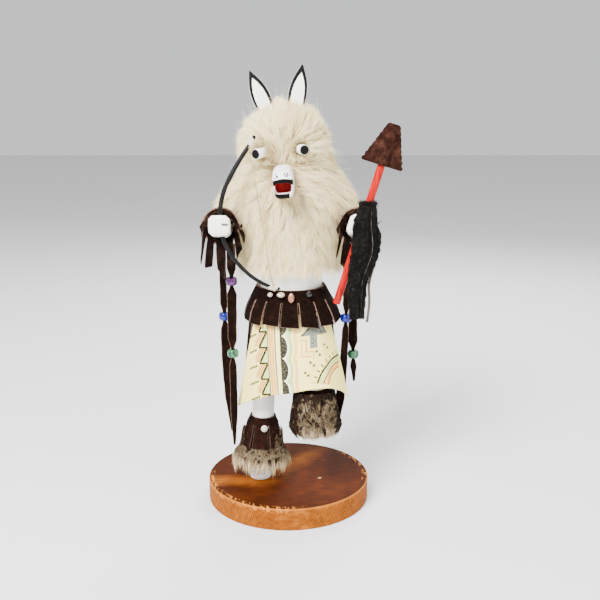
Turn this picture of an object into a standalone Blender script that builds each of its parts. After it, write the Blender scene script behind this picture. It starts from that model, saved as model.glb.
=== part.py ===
"""A dressed dancing doll on a round wooden base, with a fur hood, a bow and a lance.

Metres, +Z up. The doll looks along -Y, and the origin is the centre of the base's underside.
Places of the pose are given in percent of the figure's height, from the top of the base up.
Angles round an upright axis run from the front, -Y, towards +X.
"""

import math

import bpy
from mathutils import Matrix, Vector

# Base
BASE_DIAMETER = 0.140
BASE_THICKNESS = 0.019
BASE_EDGE = 0.0007

# Figure
FIGURE_HEIGHT = 0.350
TORSO_DIAMETER = 0.052
LEG_DIAMETER = 0.019
ARM_DIAMETER = 0.014
HAND_SIZE = 0.0168
HEAD_ROLL = math.radians(5)

# Soft goods
SUEDE = 0.0012
CLOTH = 0.0008
FUR_COLLAR = 0.0012
LAYER_GAP = 0.0006
FIT_GAP = 0.0004

# Face
EYE_DIAMETER = 0.0078
EYE_LENGTH = 0.020
EAR_WIDTH = 0.0155
EAR_LENGTH = 0.054
EAR_THICKNESS = 0.0030
MUZZLE_WIDTH = 0.0162
MUZZLE_LENGTH = 0.036
MOUTH_WIDTH = 0.0124
MOUTH_HEIGHT = 0.0078
MOUTH_DEPTH = 0.011

# Things held and hung
BOW_DIAMETER = 0.0036
BOW_TIP_DIAMETER = 0.0026
TWINE_DIAMETER = 0.0011
WRAP_LENGTH = 0.0072
WRAP_FROM_TIP = 0.0058
SHAFT_DIAMETER = 0.006
THONG_WIDTH = 0.0080
THONG_WAIST = 0.0028
BEAD_DIAMETER = 0.0094
BEAD_HEIGHT = 0.0068
BEAD_BORE = 0.0044
BUTTON_DIAMETER = 0.0062

# Worked out from the sizes above
TORSO_R = TORSO_DIAMETER / 2
LEG_R = LEG_DIAMETER / 2
ARM_R = ARM_DIAMETER / 2
HAND_R = HAND_SIZE / 2
SHAFT_R = SHAFT_DIAMETER / 2
PERCENT = FIGURE_HEIGHT / 100

COLOURS = {
    "wood": ((0.62, 0.38, 0.17), 0.55),
    "white_paint": ((0.86, 0.86, 0.84), 0.45),
    "white_fur": ((0.82, 0.76, 0.62), 0.95),
    "brown_fur": ((0.45, 0.38, 0.28), 0.95),
    "brown_suede": ((0.09, 0.035, 0.022), 0.95),
    "black_suede": ((0.012, 0.011, 0.010), 0.95),
    "printed_cloth": ((0.86, 0.83, 0.62), 0.85),
    "black_paint": ((0.02, 0.02, 0.02), 0.30),
    "red_paint": ((0.78, 0.06, 0.04), 0.35),
    "twine": ((0.75, 0.66, 0.48), 0.85),
    "violet_bead": ((0.16, 0.03, 0.16), 0.12),
    "blue_bead": ((0.01, 0.03, 0.28), 0.12),
    "green_bead": ((0.12, 0.24, 0.13), 0.12),
    "shell": ((0.80, 0.70, 0.62), 0.25),
    "coral": ((0.60, 0.30, 0.20), 0.30),
}


# Tools for building solids


def clear_scene():
    for old in list(bpy.data.objects):
        bpy.data.objects.remove(old)


def material(name):
    """The material of that name, made once."""
    found = bpy.data.materials.get(name)
    if found:
        return found
    colour, roughness = COLOURS[name]
    made = bpy.data.materials.new(name)
    made.use_nodes = True
    shader = made.node_tree.nodes["Principled BSDF"]
    shader.inputs["Base Color"].default_value = (*colour, 1)
    shader.inputs["Roughness"].default_value = roughness
    shader.inputs["Metallic"].default_value = 0
    made.diffuse_color = (*colour, 1)
    return made


def add(name, points, faces, finish):
    """One mesh object from points and faces."""
    mesh = bpy.data.meshes.new(name)
    mesh.from_pydata([tuple(p) for p in points], [], faces)
    mesh.update()
    mesh.shade_smooth()
    mesh.set_sharp_from_angle(angle=math.radians(40))
    made = bpy.data.objects.new(name, mesh)
    bpy.context.collection.objects.link(made)
    mesh.materials.append(material(finish))
    return made


def pose(x, y, z):
    """A point of the pose, in percent of the figure's height above the base."""
    return Vector((x * PERCENT, y * PERCENT, BASE_THICKNESS + z * PERCENT))


def around(phi):
    """The level direction at an angle from the front towards +X."""
    return Vector((math.sin(phi), -math.cos(phi), 0))


def between(table, at):
    """Reads a table of (place, value, value, ...) rows at a place, along straight lines."""
    if at <= table[0][0]:
        return table[0][1:]
    for low, high in zip(table, table[1:]):
        if at <= high[0]:
            t = (at - low[0]) / (high[0] - low[0])
            return tuple(a + (b - a) * t for a, b in zip(low[1:], high[1:]))
    return table[-1][1:]


def loft(name, rings, finish, closed=False):
    """A closed solid through rings of equal count. closed joins the last ring to the first."""
    count = len(rings[0])
    points = [p for ring in rings for p in ring]
    faces = []
    last = len(rings) if closed else len(rings) - 1
    for j in range(last):
        low, high = j * count, (j + 1) % len(rings) * count
        for i in range(count):
            k = (i + 1) % count
            faces.append((low + i, low + k, high + k, high + i))
    if not closed:
        faces.append(tuple(reversed(range(count))))
        faces.append(tuple(range(len(points) - count, len(points))))
    return add(name, points, faces, finish)


def rounded(centre, right, up, half_w, half_h, power, sides):
    """A ring from a circle (power 2) towards a rounded square (power 5)."""
    ring = []
    for i in range(sides):
        a = 2 * math.pi * (i + 0.5) / sides
        c, s = math.cos(a), math.sin(a)
        reach = (abs(c) ** power + abs(s) ** power) ** (-1 / power)
        ring.append(centre + right * (half_w * reach * c) + up * (half_h * reach * s))
    return ring


def tube_rings(path, radii, sides):
    """Rings along a path with mitred bends, each with its own radius."""
    first = (path[1] - path[0]).normalized()
    side = first.orthogonal().normalized()
    up = first.cross(side)
    rings = []
    for i, p in enumerate(path):
        before = (p - path[i - 1]).normalized() if i else first
        after = (path[i + 1] - p).normalized() if i + 1 < len(path) else before
        plane = (before + after).normalized()
        ring = []
        for k in range(sides):
            a = 2 * math.pi * k / sides
            out = (side * math.cos(a) + up * math.sin(a)) * radii[i]
            ring.append(p + out - before * (out.dot(plane) / before.dot(plane)))
        rings.append(ring)
        turn = before.rotation_difference(after)
        side.rotate(turn)
        up.rotate(turn)
    return rings


def tube(name, path, radii, sides, finish):
    return loft(name, tube_rings(path, radii, sides), finish)


def smooth_path(points, steps):
    """A smooth curve through the points, with that many steps between each pair."""
    ends = [points[0] * 2 - points[1], *points, points[-1] * 2 - points[-2]]
    path = []
    for a, b, c, d in zip(ends, ends[1:], ends[2:], ends[3:]):
        for k in range(steps):
            t = k / steps
            path.append(
                0.5 * (b * 2 + (c - a) * t + (a * 2 - b * 5 + c * 4 - d) * t**2 + (b * 3 - a - c * 3 + d) * t**3)
            )
    return [*path, points[-1].copy()]


def turned(name, profile, centre, axis, sides, finish, swell=None):
    """A ring-shaped solid: a closed loop of (radius, height) turned round an axis.

    The loop runs down the outside and up the inside. swell(angle, radius, height) gives extra radius.
    """
    axis = axis.normalized()
    turn = Vector((0, 0, 1)).rotation_difference(axis)
    rings = []
    for radius, height in profile:
        ring = []
        for k in range(sides):
            phi = -2 * math.pi * k / sides
            extra = swell(phi, radius, height) if swell else 0
            out = around(phi) * (radius + extra)
            out.rotate(turn)
            ring.append(centre + out + axis * height)
        rings.append(ring)
    return loft(name, rings, finish, closed=True)


def sheet(name, grid, thickness, finish, closed=False, keep=None):
    """A thin solid on a grid of columns. The thickness grows outwards, along the normals.

    closed joins the last column to the first. keep(column, row) says which faces stay.
    """
    rows = len(grid[0])
    points = [p for column in grid for p in column]
    faces = []
    last = len(grid) if closed else len(grid) - 1
    for i in range(last):
        k = (i + 1) % len(grid)
        for j in range(rows - 1):
            if keep is None or keep(i, j):
                faces.append((i * rows + j, i * rows + j + 1, k * rows + j + 1, k * rows + j))
    used = sorted({v for face in faces for v in face})
    place = {v: n for n, v in enumerate(used)}
    made = add(name, [points[v] for v in used], [tuple(place[v] for v in f) for f in faces], finish)
    thick = made.modifiers.new("thickness", "SOLIDIFY")
    thick.thickness = thickness
    thick.offset = 1
    thick.use_even_offset = True
    return made


def combine(target, other, operation):
    """A Boolean between two solids. The other one becomes a hidden guide."""
    other.hide_render = True
    other.display_type = "WIRE"
    step = target.modifiers.new(operation.lower(), "BOOLEAN")
    step.operation = operation
    step.solver = "EXACT"
    step.object = other


def ripple(phi, count, start=0.0):
    """A repeatable wave round an axis, with uneven crests."""
    return 0.6 * math.sin(count * phi + start) + 0.4 * math.sin((count * 2 + 1) * phi + 2.3 * start)


# Places that several pieces share

TORSO_X = 0.7 * PERCENT
WAIST_Z = pose(0, 0, 48.9).z
HIP_Z = pose(0, 0, 37.4).z
SHOULDER_Z = pose(0, 0, 61.2).z
TORSO_TOP_Z = pose(0, 0, 64.0).z
BODY = Vector((TORSO_X, 0, 0))
HEAD = pose(-1.0, 0, 77.4)
FACE_TURN = Matrix.Rotation(HEAD_ROLL, 4, "Y").inverted()


def on_head(x, y, z):
    """A place on the head, in percent from the head's middle, with the head's roll."""
    return HEAD + FACE_TURN @ (Vector((x, y, z)) * PERCENT)


# Base and body


def base():
    r = BASE_DIAMETER / 2
    sides = 48
    profile = [(r - BASE_EDGE, 0), (r, BASE_EDGE), (r, BASE_THICKNESS - BASE_EDGE), (r - BASE_EDGE, BASE_THICKNESS)]
    rings = [
        [around(2 * math.pi * k / sides) * radius + Vector((0, 0, z)) for k in range(sides)]
        for radius, z in profile
    ]
    loft("base", rings, "wood")


def torso():
    rise = 0.06
    top, bottom = TORSO_TOP_Z, HIP_Z
    tall = top - bottom
    shape = [(0, 0.90), (rise, 1), (1 - 2 * rise, 1), (1 - rise / 2, 0.93), (1, 0.80)]
    rings = [
        rounded(BODY + Vector((0, 0, bottom + share * tall)), Vector((1, 0, 0)), Vector((0, 1, 0)),
                TORSO_R * wide, TORSO_R * wide, 2, 32)
        for share, wide in shape
    ]
    loft("torso", rings, "white_paint")


FOOT_FRONT = 1.36
STANDING_FOOT = pose(-7.0, -1.0, 0)
STANDING_HIP = pose(-5.3, -0.8, 37.4)
RAISED_PATH = [pose(3.9, -1.8, 37.4), pose(3.9, -1.8, 34.2), pose(6.1, -9.3, 28.9), pose(6.6, -10.0, 16.2)]


def foot_ring(centre, forward, sides):
    """A leg's cross-section, pushed forward at the toes."""
    ring = rounded(centre, Vector((1, 0, 0)), Vector((0, 1, 0)), LEG_R, LEG_R, 2, sides)
    for p in ring:
        if p.y < centre.y:
            p.y = centre.y + (p.y - centre.y) * forward
    return ring


def standing_leg():
    low = STANDING_FOOT + Vector((0, 0, FIT_GAP))
    high = STANDING_HIP - Vector((0, 0, FIT_GAP))
    rings = []
    for share, forward in ((0, 1.2), (0.02, FOOT_FRONT), (0.05, FOOT_FRONT), (0.09, 1.12), (0.13, 1), (1, 1)):
        rings.append(foot_ring(low.lerp(high, share), forward, 20))
    loft("leg_standing", rings, "white_paint")


def raised_leg():
    path = [RAISED_PATH[0] - Vector((0, 0, FIT_GAP)), *RAISED_PATH[1:]]
    rings = tube_rings(path, [LEG_R] * len(path), 20)
    loft("leg_raised", rings, "white_paint")


ELBOW_Z = 62.0
HAND_Z = 64.5
HAND_Y = -12.0
WRIST_BACK = 0.6
CUFF_BACK = 0.45
BOW_HAND = pose(-15.0, HAND_Y, HAND_Z)
LANCE_HAND = pose(15.9, HAND_Y, HAND_Z)
LANCE_FOOT = pose(11.2, -11.6, 46.8)
LANCE_TIP = pose(22.9, -11.6, 84.8)
LANCE_WAY = (LANCE_TIP - LANCE_FOOT).normalized()


def arm_path(side, hand):
    """Shoulder, elbow, wrist and the middle of the hand."""
    shoulder = Vector((TORSO_X + side * (TORSO_R + FIT_GAP), 0, SHOULDER_Z))
    elbow = Vector((hand.x, 0, pose(0, 0, ELBOW_Z).z))
    wrist = hand + Vector((0, HAND_R * WRIST_BACK, 0))
    return [shoulder, elbow, wrist, hand]


def arm(name, side, hand, grip_path, grip_radii, lean):
    """An arm that ends in a carved fist, with a hole for what it holds."""
    path = arm_path(side, hand)
    up = Matrix.Rotation(lean, 3, "Y") @ Vector((0, 0, 1))
    right = Matrix.Rotation(lean, 3, "Y") @ Vector((1, 0, 0))
    rings = tube_rings(path[:3], [ARM_R] * 3, 16)
    forearm = (path[2] - path[1]).normalized()
    limb = loft(name, rings, "white_paint")
    fist = []
    for back, wide in ((0.92, 0.70), (0.80, 0.95), (-0.62, 1), (-0.86, 0.92), (-0.95, 0.70)):
        fist.append(rounded(hand - forearm * back * HAND_R, right, up, HAND_R * wide, HAND_R * wide * 0.97, 5, 16))
    knuckles = loft(name + "_fist_guide", fist, "white_paint")
    combine(limb, knuckles, "UNION")
    hole = tube(name + "_grip_guide", grip_path, [r + FIT_GAP for r in grip_radii], 10, "white_paint")
    combine(limb, hole, "DIFFERENCE")
    return path


# Bow and lance

BOW_POINTS = [
    pose(-7.0, -10.8, 84.3), pose(-8.4, -11.0, 82.0), pose(-10.1, -11.3, 79.5), pose(-12.0, -11.6, 76.3),
    pose(-13.8, -11.9, 72.6), pose(-14.7, -12.0, 69.0), pose(-15.0, -12.0, 65.4), pose(-14.3, -12.0, 61.8),
    pose(-13.2, -11.9, 59.2), pose(-11.9, -11.6, 57.0), pose(-9.9, -11.1, 54.6), pose(-7.6, -10.6, 52.5),
    pose(-4.8, -10.1, 50.8), pose(-1.7, -9.8, 49.8),
]
BOW_STEPS = 1


def bow_line():
    path = smooth_path(BOW_POINTS, BOW_STEPS)
    half = (len(path) - 1) / 2
    radii = []
    for i in range(len(path)):
        thin = abs(i / half - 1) ** 3
        radii.append((BOW_DIAMETER + (BOW_TIP_DIAMETER - BOW_DIAMETER) * thin) / 2)
    return path, radii


def bow():
    path, radii = bow_line()
    tube("bow_stave", path, radii, 8, "black_paint")
    inner = BOW_DIAMETER / 2 + FIT_GAP
    outer = inner + TWINE_DIAMETER
    half = WRAP_LENGTH / 2
    profile = [(outer, half), (outer, -half), (inner, -half), (inner, half)]
    ends = []
    tips = (("bow_wrap_top", path[0], path[1]), ("bow_wrap_low", path[-1], path[-2]))
    for name, tip, after in tips:
        along = (after - tip).normalized()
        ends.append((tip + along * WRAP_FROM_TIP, along))
        turned(name, profile, ends[-1][0], along, 10, "twine")
    (top, down), (low, back) = ends
    way = (low - top).normalized()
    reach = outer + TWINE_DIAMETER / 2 + FIT_GAP
    start = top + down.cross(way).normalized() * reach + down * half
    end = low + back.cross(way).normalized() * reach
    tube("bow_string", [start, end], [TWINE_DIAMETER / 2] * 2, 6, "twine")


LANCE_HEAD_LENGTH = 0.0325
LANCE_HEAD_WIDTH = 0.034
LANCE_HEAD_TOP = 0.0095
LANCE_HEAD_EDGE = 0.0026
LANCE_SOCKET = 0.77
LANCE_HEAD_TAPER = 0.22


def lance():
    tube("lance_shaft", [LANCE_FOOT, LANCE_TIP], [SHAFT_R, SHAFT_R], 14, "red_paint")
    socket = LANCE_SOCKET * LANCE_HEAD_LENGTH
    foot = LANCE_TIP - LANCE_WAY * socket
    right = LANCE_WAY.cross(Vector((0, 1, 0))).normalized() * -1
    if right.x < 0:
        right = -right
    rows, columns = 5, 8
    shells = ([], [])
    for j in range(rows + 1):
        t = j / rows
        half = (LANCE_HEAD_WIDTH + (LANCE_HEAD_TOP - LANCE_HEAD_WIDTH) * t) / 2
        middle = foot + LANCE_WAY * (LANCE_HEAD_LENGTH * t)
        for side, shell in ((-1, shells[0]), (1, shells[1])):
            row = []
            for i in range(columns + 1):
                across = -1 + 2 * i / columns
                crown = math.exp(-((across * half / (SHAFT_R * 1.6)) ** 4)) * min(1, (1.03 - t) / LANCE_HEAD_TAPER)
                deep = LANCE_HEAD_EDGE / 2 + crown * (SHAFT_R + FIT_GAP + SUEDE - LANCE_HEAD_EDGE / 2)
                row.append(middle + right * (across * half) + Vector((0, side * deep, 0)))
            shell.append(row)
    rings = [front + back[::-1] for front, back in zip(*shells)]
    head = loft("lance_head", rings, "brown_suede")
    bore = tube("lance_head_bore_guide", [foot - LANCE_WAY * SHAFT_R, LANCE_TIP + LANCE_WAY * FIT_GAP],
                [SHAFT_R + FIT_GAP] * 2, 14, "brown_suede")
    combine(head, bore, "DIFFERENCE")


BANNER_ROWS = [
    (69.7, 17.9, -12.9, 1.5), (68.2, 17.6, -14.8, 2.0), (65.6, 17.2, -15.3, 2.6), (61.5, 17.4, -15.3, 3.0),
    (58.6, 17.2, -15.0, 3.0),
    (55.4, 16.4, -14.6, 2.7), (52.4, 15.8, -14.3, 2.1), (48.0, 15.7, -14.0, 1.8), (43.8, 15.8, -13.8, 1.5),
]
STRAND_ROWS = [
    (62.0, 20.6, -13.9), (57.5, 19.7, -13.9), (52.0, 18.4, -13.9), (47.5, 18.5, -13.7), (43.0, 18.1, -13.6),
]
STRAND_WIDTH = 0.0020


def banner():
    """The black suede strip that hangs in front of the lance, and the thin strand beside it."""
    grid = []
    for across in (-1, -0.4, 0.4, 1):
        grid.append([pose(x + across * half, y - 0.25 * (1 - across**2), z) for z, x, y, half in BANNER_ROWS])
    sheet("lance_banner", grid, SUEDE, "black_suede")
    strand = []
    for across in (-1, 1):
        aside = Vector((across * STRAND_WIDTH / 2, 0, 0))
        strand.append([pose(x, y, z) + aside for z, x, y in STRAND_ROWS])
    sheet("lance_strand", strand, SUEDE, "black_suede")


# Head


HOOD_SECTIONS = [
    (54.0, 0.6, 9.4, 8.5, 8.5), (54.8, 0.6, 11.0, 9.4, 9.3),
    (57.4, 0.8, 12.3, 9.9, 9.9), (60.9, 0.5, 12.5, 10.2, 10.2),
    (63.6, 0.1, 12.5, 10.4, 10.4), (65.6, 0.2, 14.3, 10.5, 10.5), (67.3, -0.2, 16.7, 10.6, 10.6),
    (69.0, -0.2, 16.1, 10.6, 10.6), (71.4, 0.3, 14.5, 10.6, 10.6), (74.2, 0.5, 12.4, 10.6, 10.6),
    (77.4, 0.1, 10.5, 10.5, 10.6), (80.9, -0.6, 10.4, 10.4, 10.5), (83.9, -0.8, 10.2, 10.1, 10.3),
    (86.6, -0.6, 9.1, 9.0, 9.2), (89.0, -0.4, 6.9, 6.8, 7.0),
    (90.9, -0.4, 3.9, 3.8, 4.0), (91.9, -0.4, 1.2, 1.2, 1.2),
]
HOOD_ROUND = 1.18
HOOD_SIDES = 28
FACE_REACH = 10.6
HEM_ROWS = 2
HEM_RAGGED = 0.35
LOCKS = 7
LOCK_DEPTH = 0.30


def fur_body(name, sides):
    """The hood through oval sections: height, middle x, half width, front and back reach, in percent.

    Where a section is much wider than it is deep, the extra width is drawn out into the shoulder ruff.
    """
    rings = []
    for row, (z, mid, wide, front, back) in enumerate(HOOD_SECTIONS):
        ring = []
        for k in range(sides):
            phi = 2 * math.pi * k / sides
            lock = LOCK_DEPTH * ripple(phi, LOCKS, z * 0.35) * min(1, wide / 6)
            side, ahead = math.sin(phi), -math.cos(phi)
            core = min(wide, front * HOOD_ROUND)
            width = core + (wide - core) * abs(side) ** 3
            depth = front if ahead < 0 else back
            ragged = HEM_RAGGED * ripple(phi, 5, 1.0) * (row < HEM_ROWS)
            ring.append(pose(mid + (width + lock) * side, (depth + lock) * ahead, z + ragged))
        rings.append(ring)
    return loft(name, rings, "white_fur")


EAR_SPREAD = math.radians(17)
EAR_TILT = math.radians(-2)
EAR_SHAPE = [
    (0, 0.50), (0.2, 0.66), (0.34, 0.82), (0.48, 0.98), (0.6, 1), (0.7, 0.92), (0.8, 0.72), (0.9, 0.40), (1, 0.06),
]
EAR_CURVE = 0.0015


def ear_rings(side, grow):
    """A leaf-shaped slat, from its root up to its tip."""
    root = on_head(0.9 + side * 1.55, -0.6, 7.1)
    spread = Matrix.Rotation(side * EAR_SPREAD + EAR_TILT, 3, "Y")
    lean = FACE_TURN.to_3x3() @ (spread @ Vector((0, 0, 1)))
    right = lean.cross(Vector((0, 1, 0))).normalized()
    right = right if right.x > 0 else -right
    rings = []
    for share, wide in EAR_SHAPE:
        half = EAR_WIDTH * wide / 2 + grow
        deep = EAR_THICKNESS / 2 + grow
        middle = root + lean * (EAR_LENGTH * share)
        bow = Vector((0, -EAR_CURVE * math.sin(math.pi * share), 0))
        corners = ((-1, -1), (1, -1), (1, 1), (-1, 1))
        rings.append([middle + bow + right * (a * half) + Vector((0, b * deep, 0)) for a, b in corners])
    return rings


MUZZLE_SHAPE = [
    (0, 1.04, -3.9, 3.4), (0.40, 1.02, -3.8, 3.1), (0.70, 1, -3.7, 2.7),
    (0.92, 0.95, -3.6, 2.0), (1, 0.80, -3.3, 1.3),
]
MUZZLE_MIDDLE = -2.7
MUZZLE_SINK = 0.011


def muzzle_rings(grow):
    """The snout from its root to the nose: share of length, share of width, lower and upper edge in percent."""
    rings = []
    root_y = MUZZLE_SINK - FACE_REACH * PERCENT
    for share, wide, low, high in MUZZLE_SHAPE:
        middle = on_head(0, 0, MUZZLE_MIDDLE + (low + high) / 2)
        middle.y = root_y - MUZZLE_LENGTH * share
        right = FACE_TURN.to_3x3() @ Vector((1, 0, 0))
        up = FACE_TURN.to_3x3() @ Vector((0, 0, 1))
        half_width = MUZZLE_WIDTH * wide / 2 + grow
        half_height = (high - low) / 2 * PERCENT + grow
        rings.append(rounded(middle, right, up, half_width, half_height, 3.4, 16))
    return rings


def eye_line(side):
    """From the root of an eye peg to its face."""
    outward = math.radians(34 if side < 0 else 18)
    way = FACE_TURN.to_3x3() @ Vector((side * math.sin(outward), -math.cos(outward), -0.06))
    way.normalize()
    face = on_head(side * 5.35 - 0.15, -12.9, 3.5)
    return face - way * EYE_LENGTH, face


def eye(name, side):
    root, face = eye_line(side)
    r = EYE_DIAMETER / 2
    way = (face - root).normalized()
    path = [root, face - way * r * 0.25, face]
    tube(name, path, [r, r, r * 0.86], 12, "white_paint")


def muzzle():
    snout = loft("muzzle", muzzle_rings(0), "white_paint")
    tip = muzzle_rings(0)[-1]
    middle = sum(tip, Vector()) / len(tip)
    right = FACE_TURN.to_3x3() @ Vector((1, 0, 0))
    up = FACE_TURN.to_3x3() @ Vector((0, 0, 1))
    front = middle + Vector((0, -0.004, 0)) - up * 0.0012
    back = front + Vector((0, 0.004 + MOUTH_DEPTH, 0))
    rings = [
        rounded(p, right, up, MOUTH_WIDTH / 2 * wide, MOUTH_HEIGHT / 2 * wide, 5, 16)
        for p, wide in ((back, 0.86), (front, 1))
    ]
    mouth = loft("mouth_guide", rings, "white_paint")
    combine(snout, mouth, "DIFFERENCE")


def hood():
    """The fur head and shoulder cape, with sockets for what stands in it."""
    body = fur_body("fur_hood", HOOD_SIDES)
    r = TORSO_R + FIT_GAP
    column = [
        rounded(BODY + Vector((0, 0, z)), Vector((1, 0, 0)), Vector((0, 1, 0)), r, r, 2, 32)
        for z in (pose(0, 0, 50).z, TORSO_TOP_Z + FIT_GAP)
    ]
    combine(body, loft("torso_guide", column, "white_fur"), "DIFFERENCE")
    for side, hand in ((-1, BOW_HAND), (1, LANCE_HAND)):
        path = arm_path(side, hand)
        path[0] = path[0].lerp(path[1], -0.2)
        sleeve = tube(f"arm_guide_{side}", path[:3], [ARM_R + LAYER_GAP] * 3, 16, "white_fur")
        combine(body, sleeve, "DIFFERENCE")
        combine(body, loft(f"ear_guide_{side}", ear_rings(side, FIT_GAP), "white_fur"), "DIFFERENCE")
        root, face = eye_line(side)
        way = (face - root).normalized()
        wide = [EYE_DIAMETER / 2 + FIT_GAP] * 2
        socket = tube(f"eye_guide_{side}", [root - way * FIT_GAP, face], wide, 12, "white_fur")
        combine(body, socket, "DIFFERENCE")
    rings = muzzle_rings(FIT_GAP)
    rings[0] = [p + Vector((0, FIT_GAP, 0)) for p in rings[0]]
    combine(body, loft("muzzle_guide", rings, "white_fur"), "DIFFERENCE")


def head():
    hood()
    muzzle()
    for name, side in (("bow_side", -1), ("lance_side", 1)):
        loft(f"ear_{name}", ear_rings(side, 0), "white_paint")
        eye(f"eye_{name}", side)


# Kilt, apron and belt flap


def strip_angles(strips, slit, faces):
    """Angles of a fringe's columns: each strip is that many faces wide, and a narrow slit follows it."""
    pitch = 2 * math.pi / strips
    return [pitch * (k - 0.5) + (pitch - slit) * n / faces for k in range(strips) for n in range(faces + 1)]


def off_centre(phi):
    """How far an angle is from the front, without its sign."""
    return abs(math.remainder(phi, 2 * math.pi))


KILT_PROFILE = [(0, 0), (0.10, 0.9), (0.22, 2.0), (0.34, 2.3), (0.55, 2.8), (0.8, 3.3), (1, 3.5)]
KILT_ROWS = (0, 0.12, 0.30, 0.60, 1)
KILT_LENGTH = 0.088
KILT_STRIPS, KILT_FACES, KILT_SLIT = 14, 2, math.radians(2.2)
KILT_OPEN = (-2, 3)
KILT_WAVE = 0.0009
FLAP_LENGTH = 0.0285
FLAP_STRIPS, FLAP_FACES, FLAP_SLIT = 16, 2, math.radians(1.6)
FLAP_ROWS = (0, 0.34, 1)
FLAP_WAVE = 0.0004
APRON_TOP = 0.018


def kilt_radius(share):
    """The kilt's inner radius at a share of its length."""
    return TORSO_R + FIT_GAP + between(KILT_PROFILE, share)[0] * PERCENT


def kilt():
    """The suede kilt: a band round the waist, open in front for the knee, cut into strips below."""
    angles = strip_angles(KILT_STRIPS, KILT_SLIT, KILT_FACES)
    grid = []
    for phi in angles:
        column = []
        for share in KILT_ROWS:
            r = kilt_radius(share) + KILT_WAVE * ripple(phi, 5) * share**2
            column.append(BODY + around(phi) * r + Vector((0, 0, WAIST_Z - KILT_LENGTH * share)))
        grid.append(column)

    def keep(i, j):
        strip, face = divmod(i, KILT_FACES + 1)
        strip = strip - KILT_STRIPS if strip > KILT_STRIPS / 2 else strip
        open_front = KILT_OPEN[0] < strip < KILT_OPEN[1]
        return j < 2 or (face < KILT_FACES and not open_front)

    sheet("kilt", grid, SUEDE, "brown_suede", closed=True, keep=keep)


def flap_radius(share, phi):
    """The inner radius of the belt flap. It stands off over the apron, most on the lance side."""
    under = kilt_radius(share * FLAP_LENGTH / KILT_LENGTH) + SUEDE + LAYER_GAP
    apron = (CLOTH + LAYER_GAP) * min(1, share * 2.5)
    flare = 0.5 + 0.5 * math.sin(phi)
    front = max(0.0, math.cos(phi - 0.35))
    return under + apron + (0.0008 + 0.0022 * flare**2 + 0.0030 * front) * share**2


def belt_flap():
    grid = []
    for phi in strip_angles(FLAP_STRIPS, FLAP_SLIT, FLAP_FACES):
        column = []
        for share in FLAP_ROWS:
            wave = FLAP_WAVE * (1 + ripple(phi, 7)) * share**2
            drop = FLAP_LENGTH * share
            column.append(BODY + around(phi) * (flap_radius(share, phi) + wave) + Vector((0, 0, WAIST_Z - drop)))
        grid.append(column)
    cut = FLAP_FACES + 1
    sheet("belt_flap", grid, SUEDE, "brown_suede", closed=True, keep=lambda i, j: j < 1 or i % cut != FLAP_FACES)


APRON_LEFT, APRON_RIGHT = math.radians(-56), math.radians(62)
APRON_COLUMNS, APRON_ROWS = 11, 6
APRON_HEM = [
    (0, -12.0, -4.6, 19.7), (0.10, -9.3, -7.6, 21.8), (0.28, -4.0, -11.4, 24.6), (0.43, 0.6, -13.3, 25.7),
    (0.60, 5.4, -14.8, 27.2), (0.76, 9.8, -13.4, 27.2), (0.88, 12.4, -10.4, 25.5), (1, 14.5, -7.9, 23.2),
]
APRON_EASE = 1.28
APRON_SWELL = 0.0024
APRON_FOLD = 0.0007


def apron_point(u, v):
    """The cloth's inner face: u runs from the bow side to the lance side, v from the belt to the hem."""
    phi = APRON_LEFT + (APRON_RIGHT - APRON_LEFT) * u
    share = APRON_TOP / KILT_LENGTH
    top = BODY + around(phi) * (kilt_radius(share) + SUEDE + LAYER_GAP) + Vector((0, 0, WAIST_Z - APRON_TOP))
    hem = pose(*between(APRON_HEM, u))
    ease = v**APRON_EASE
    point = Vector((top.x + (hem.x - top.x) * ease, top.y + (hem.y - top.y) * ease, top.z + (hem.z - top.z) * v))
    belly = max(0.0, math.sin(math.pi * min(1, v * 1.15))) ** 0.8 * v**0.5
    fold = math.sin(u * 9.0 + 0.7) * v
    return point + around(phi) * (APRON_SWELL * belly + APRON_FOLD * fold)


def apron():
    grid = [
        [apron_point(i / APRON_COLUMNS, j / APRON_ROWS) for j in range(APRON_ROWS + 1)]
        for i in range(APRON_COLUMNS + 1)
    ]
    sheet("kilt_apron", grid, CLOTH, "printed_cloth")


TRINKETS = [
    ("belt_shell", -0.50, 0.0026, 0.0022, 0.8, "shell"),
    ("belt_stone_pale", -0.22, 0.0018, 0.0034, 0.6, "shell"),
    ("belt_stone_coral", 0.02, 0.0042, 0.0026, 1.5, "coral"),
    ("belt_bead_black", 0.46, 0.0022, 0.0024, 1, "black_paint"),
]
TRINKET_SHAPE = ((-1, 0.35), (-0.6, 0.82), (0, 1), (0.55, 0.8), (1, 0.3))


def trinkets():
    """What is sewn on at the belt: a shell, two stones and a bead, each in front of the flap's face."""
    for name, phi, drop, half, tall, finish in TRINKETS:
        out = flap_radius(drop / FLAP_LENGTH, phi) + SUEDE + half + LAYER_GAP * 2
        middle = BODY + around(phi) * out + Vector((0, 0, WAIST_Z - drop))
        rings = []
        for t, wide in TRINKET_SHAPE:
            centre = middle + Vector((0, 0, t * half * tall))
            r = half * wide
            rings.append(rounded(centre, Vector((1, 0, 0)), Vector((0, 1, 0)), r, r * 0.9, 2.4, 10))
        loft(name, rings, finish)


# Boots

BOOT_HEIGHT = 0.044
BOOT_CUFF = 0.029
BOOT_FUR_TOP = 0.010
BOOT_FLARE = 0.0068
BOOT_FUR_FLARE = 0.0150
BOOT_TABS, BOOT_FACES, BOOT_SLIT = 7, 2, math.radians(7)
BOOT_ROWS = (0, 0.22, 1)
RAISED_BOOT_SCALE = 0.80
RAISED_FUR_FLARE = 0.0098


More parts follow.
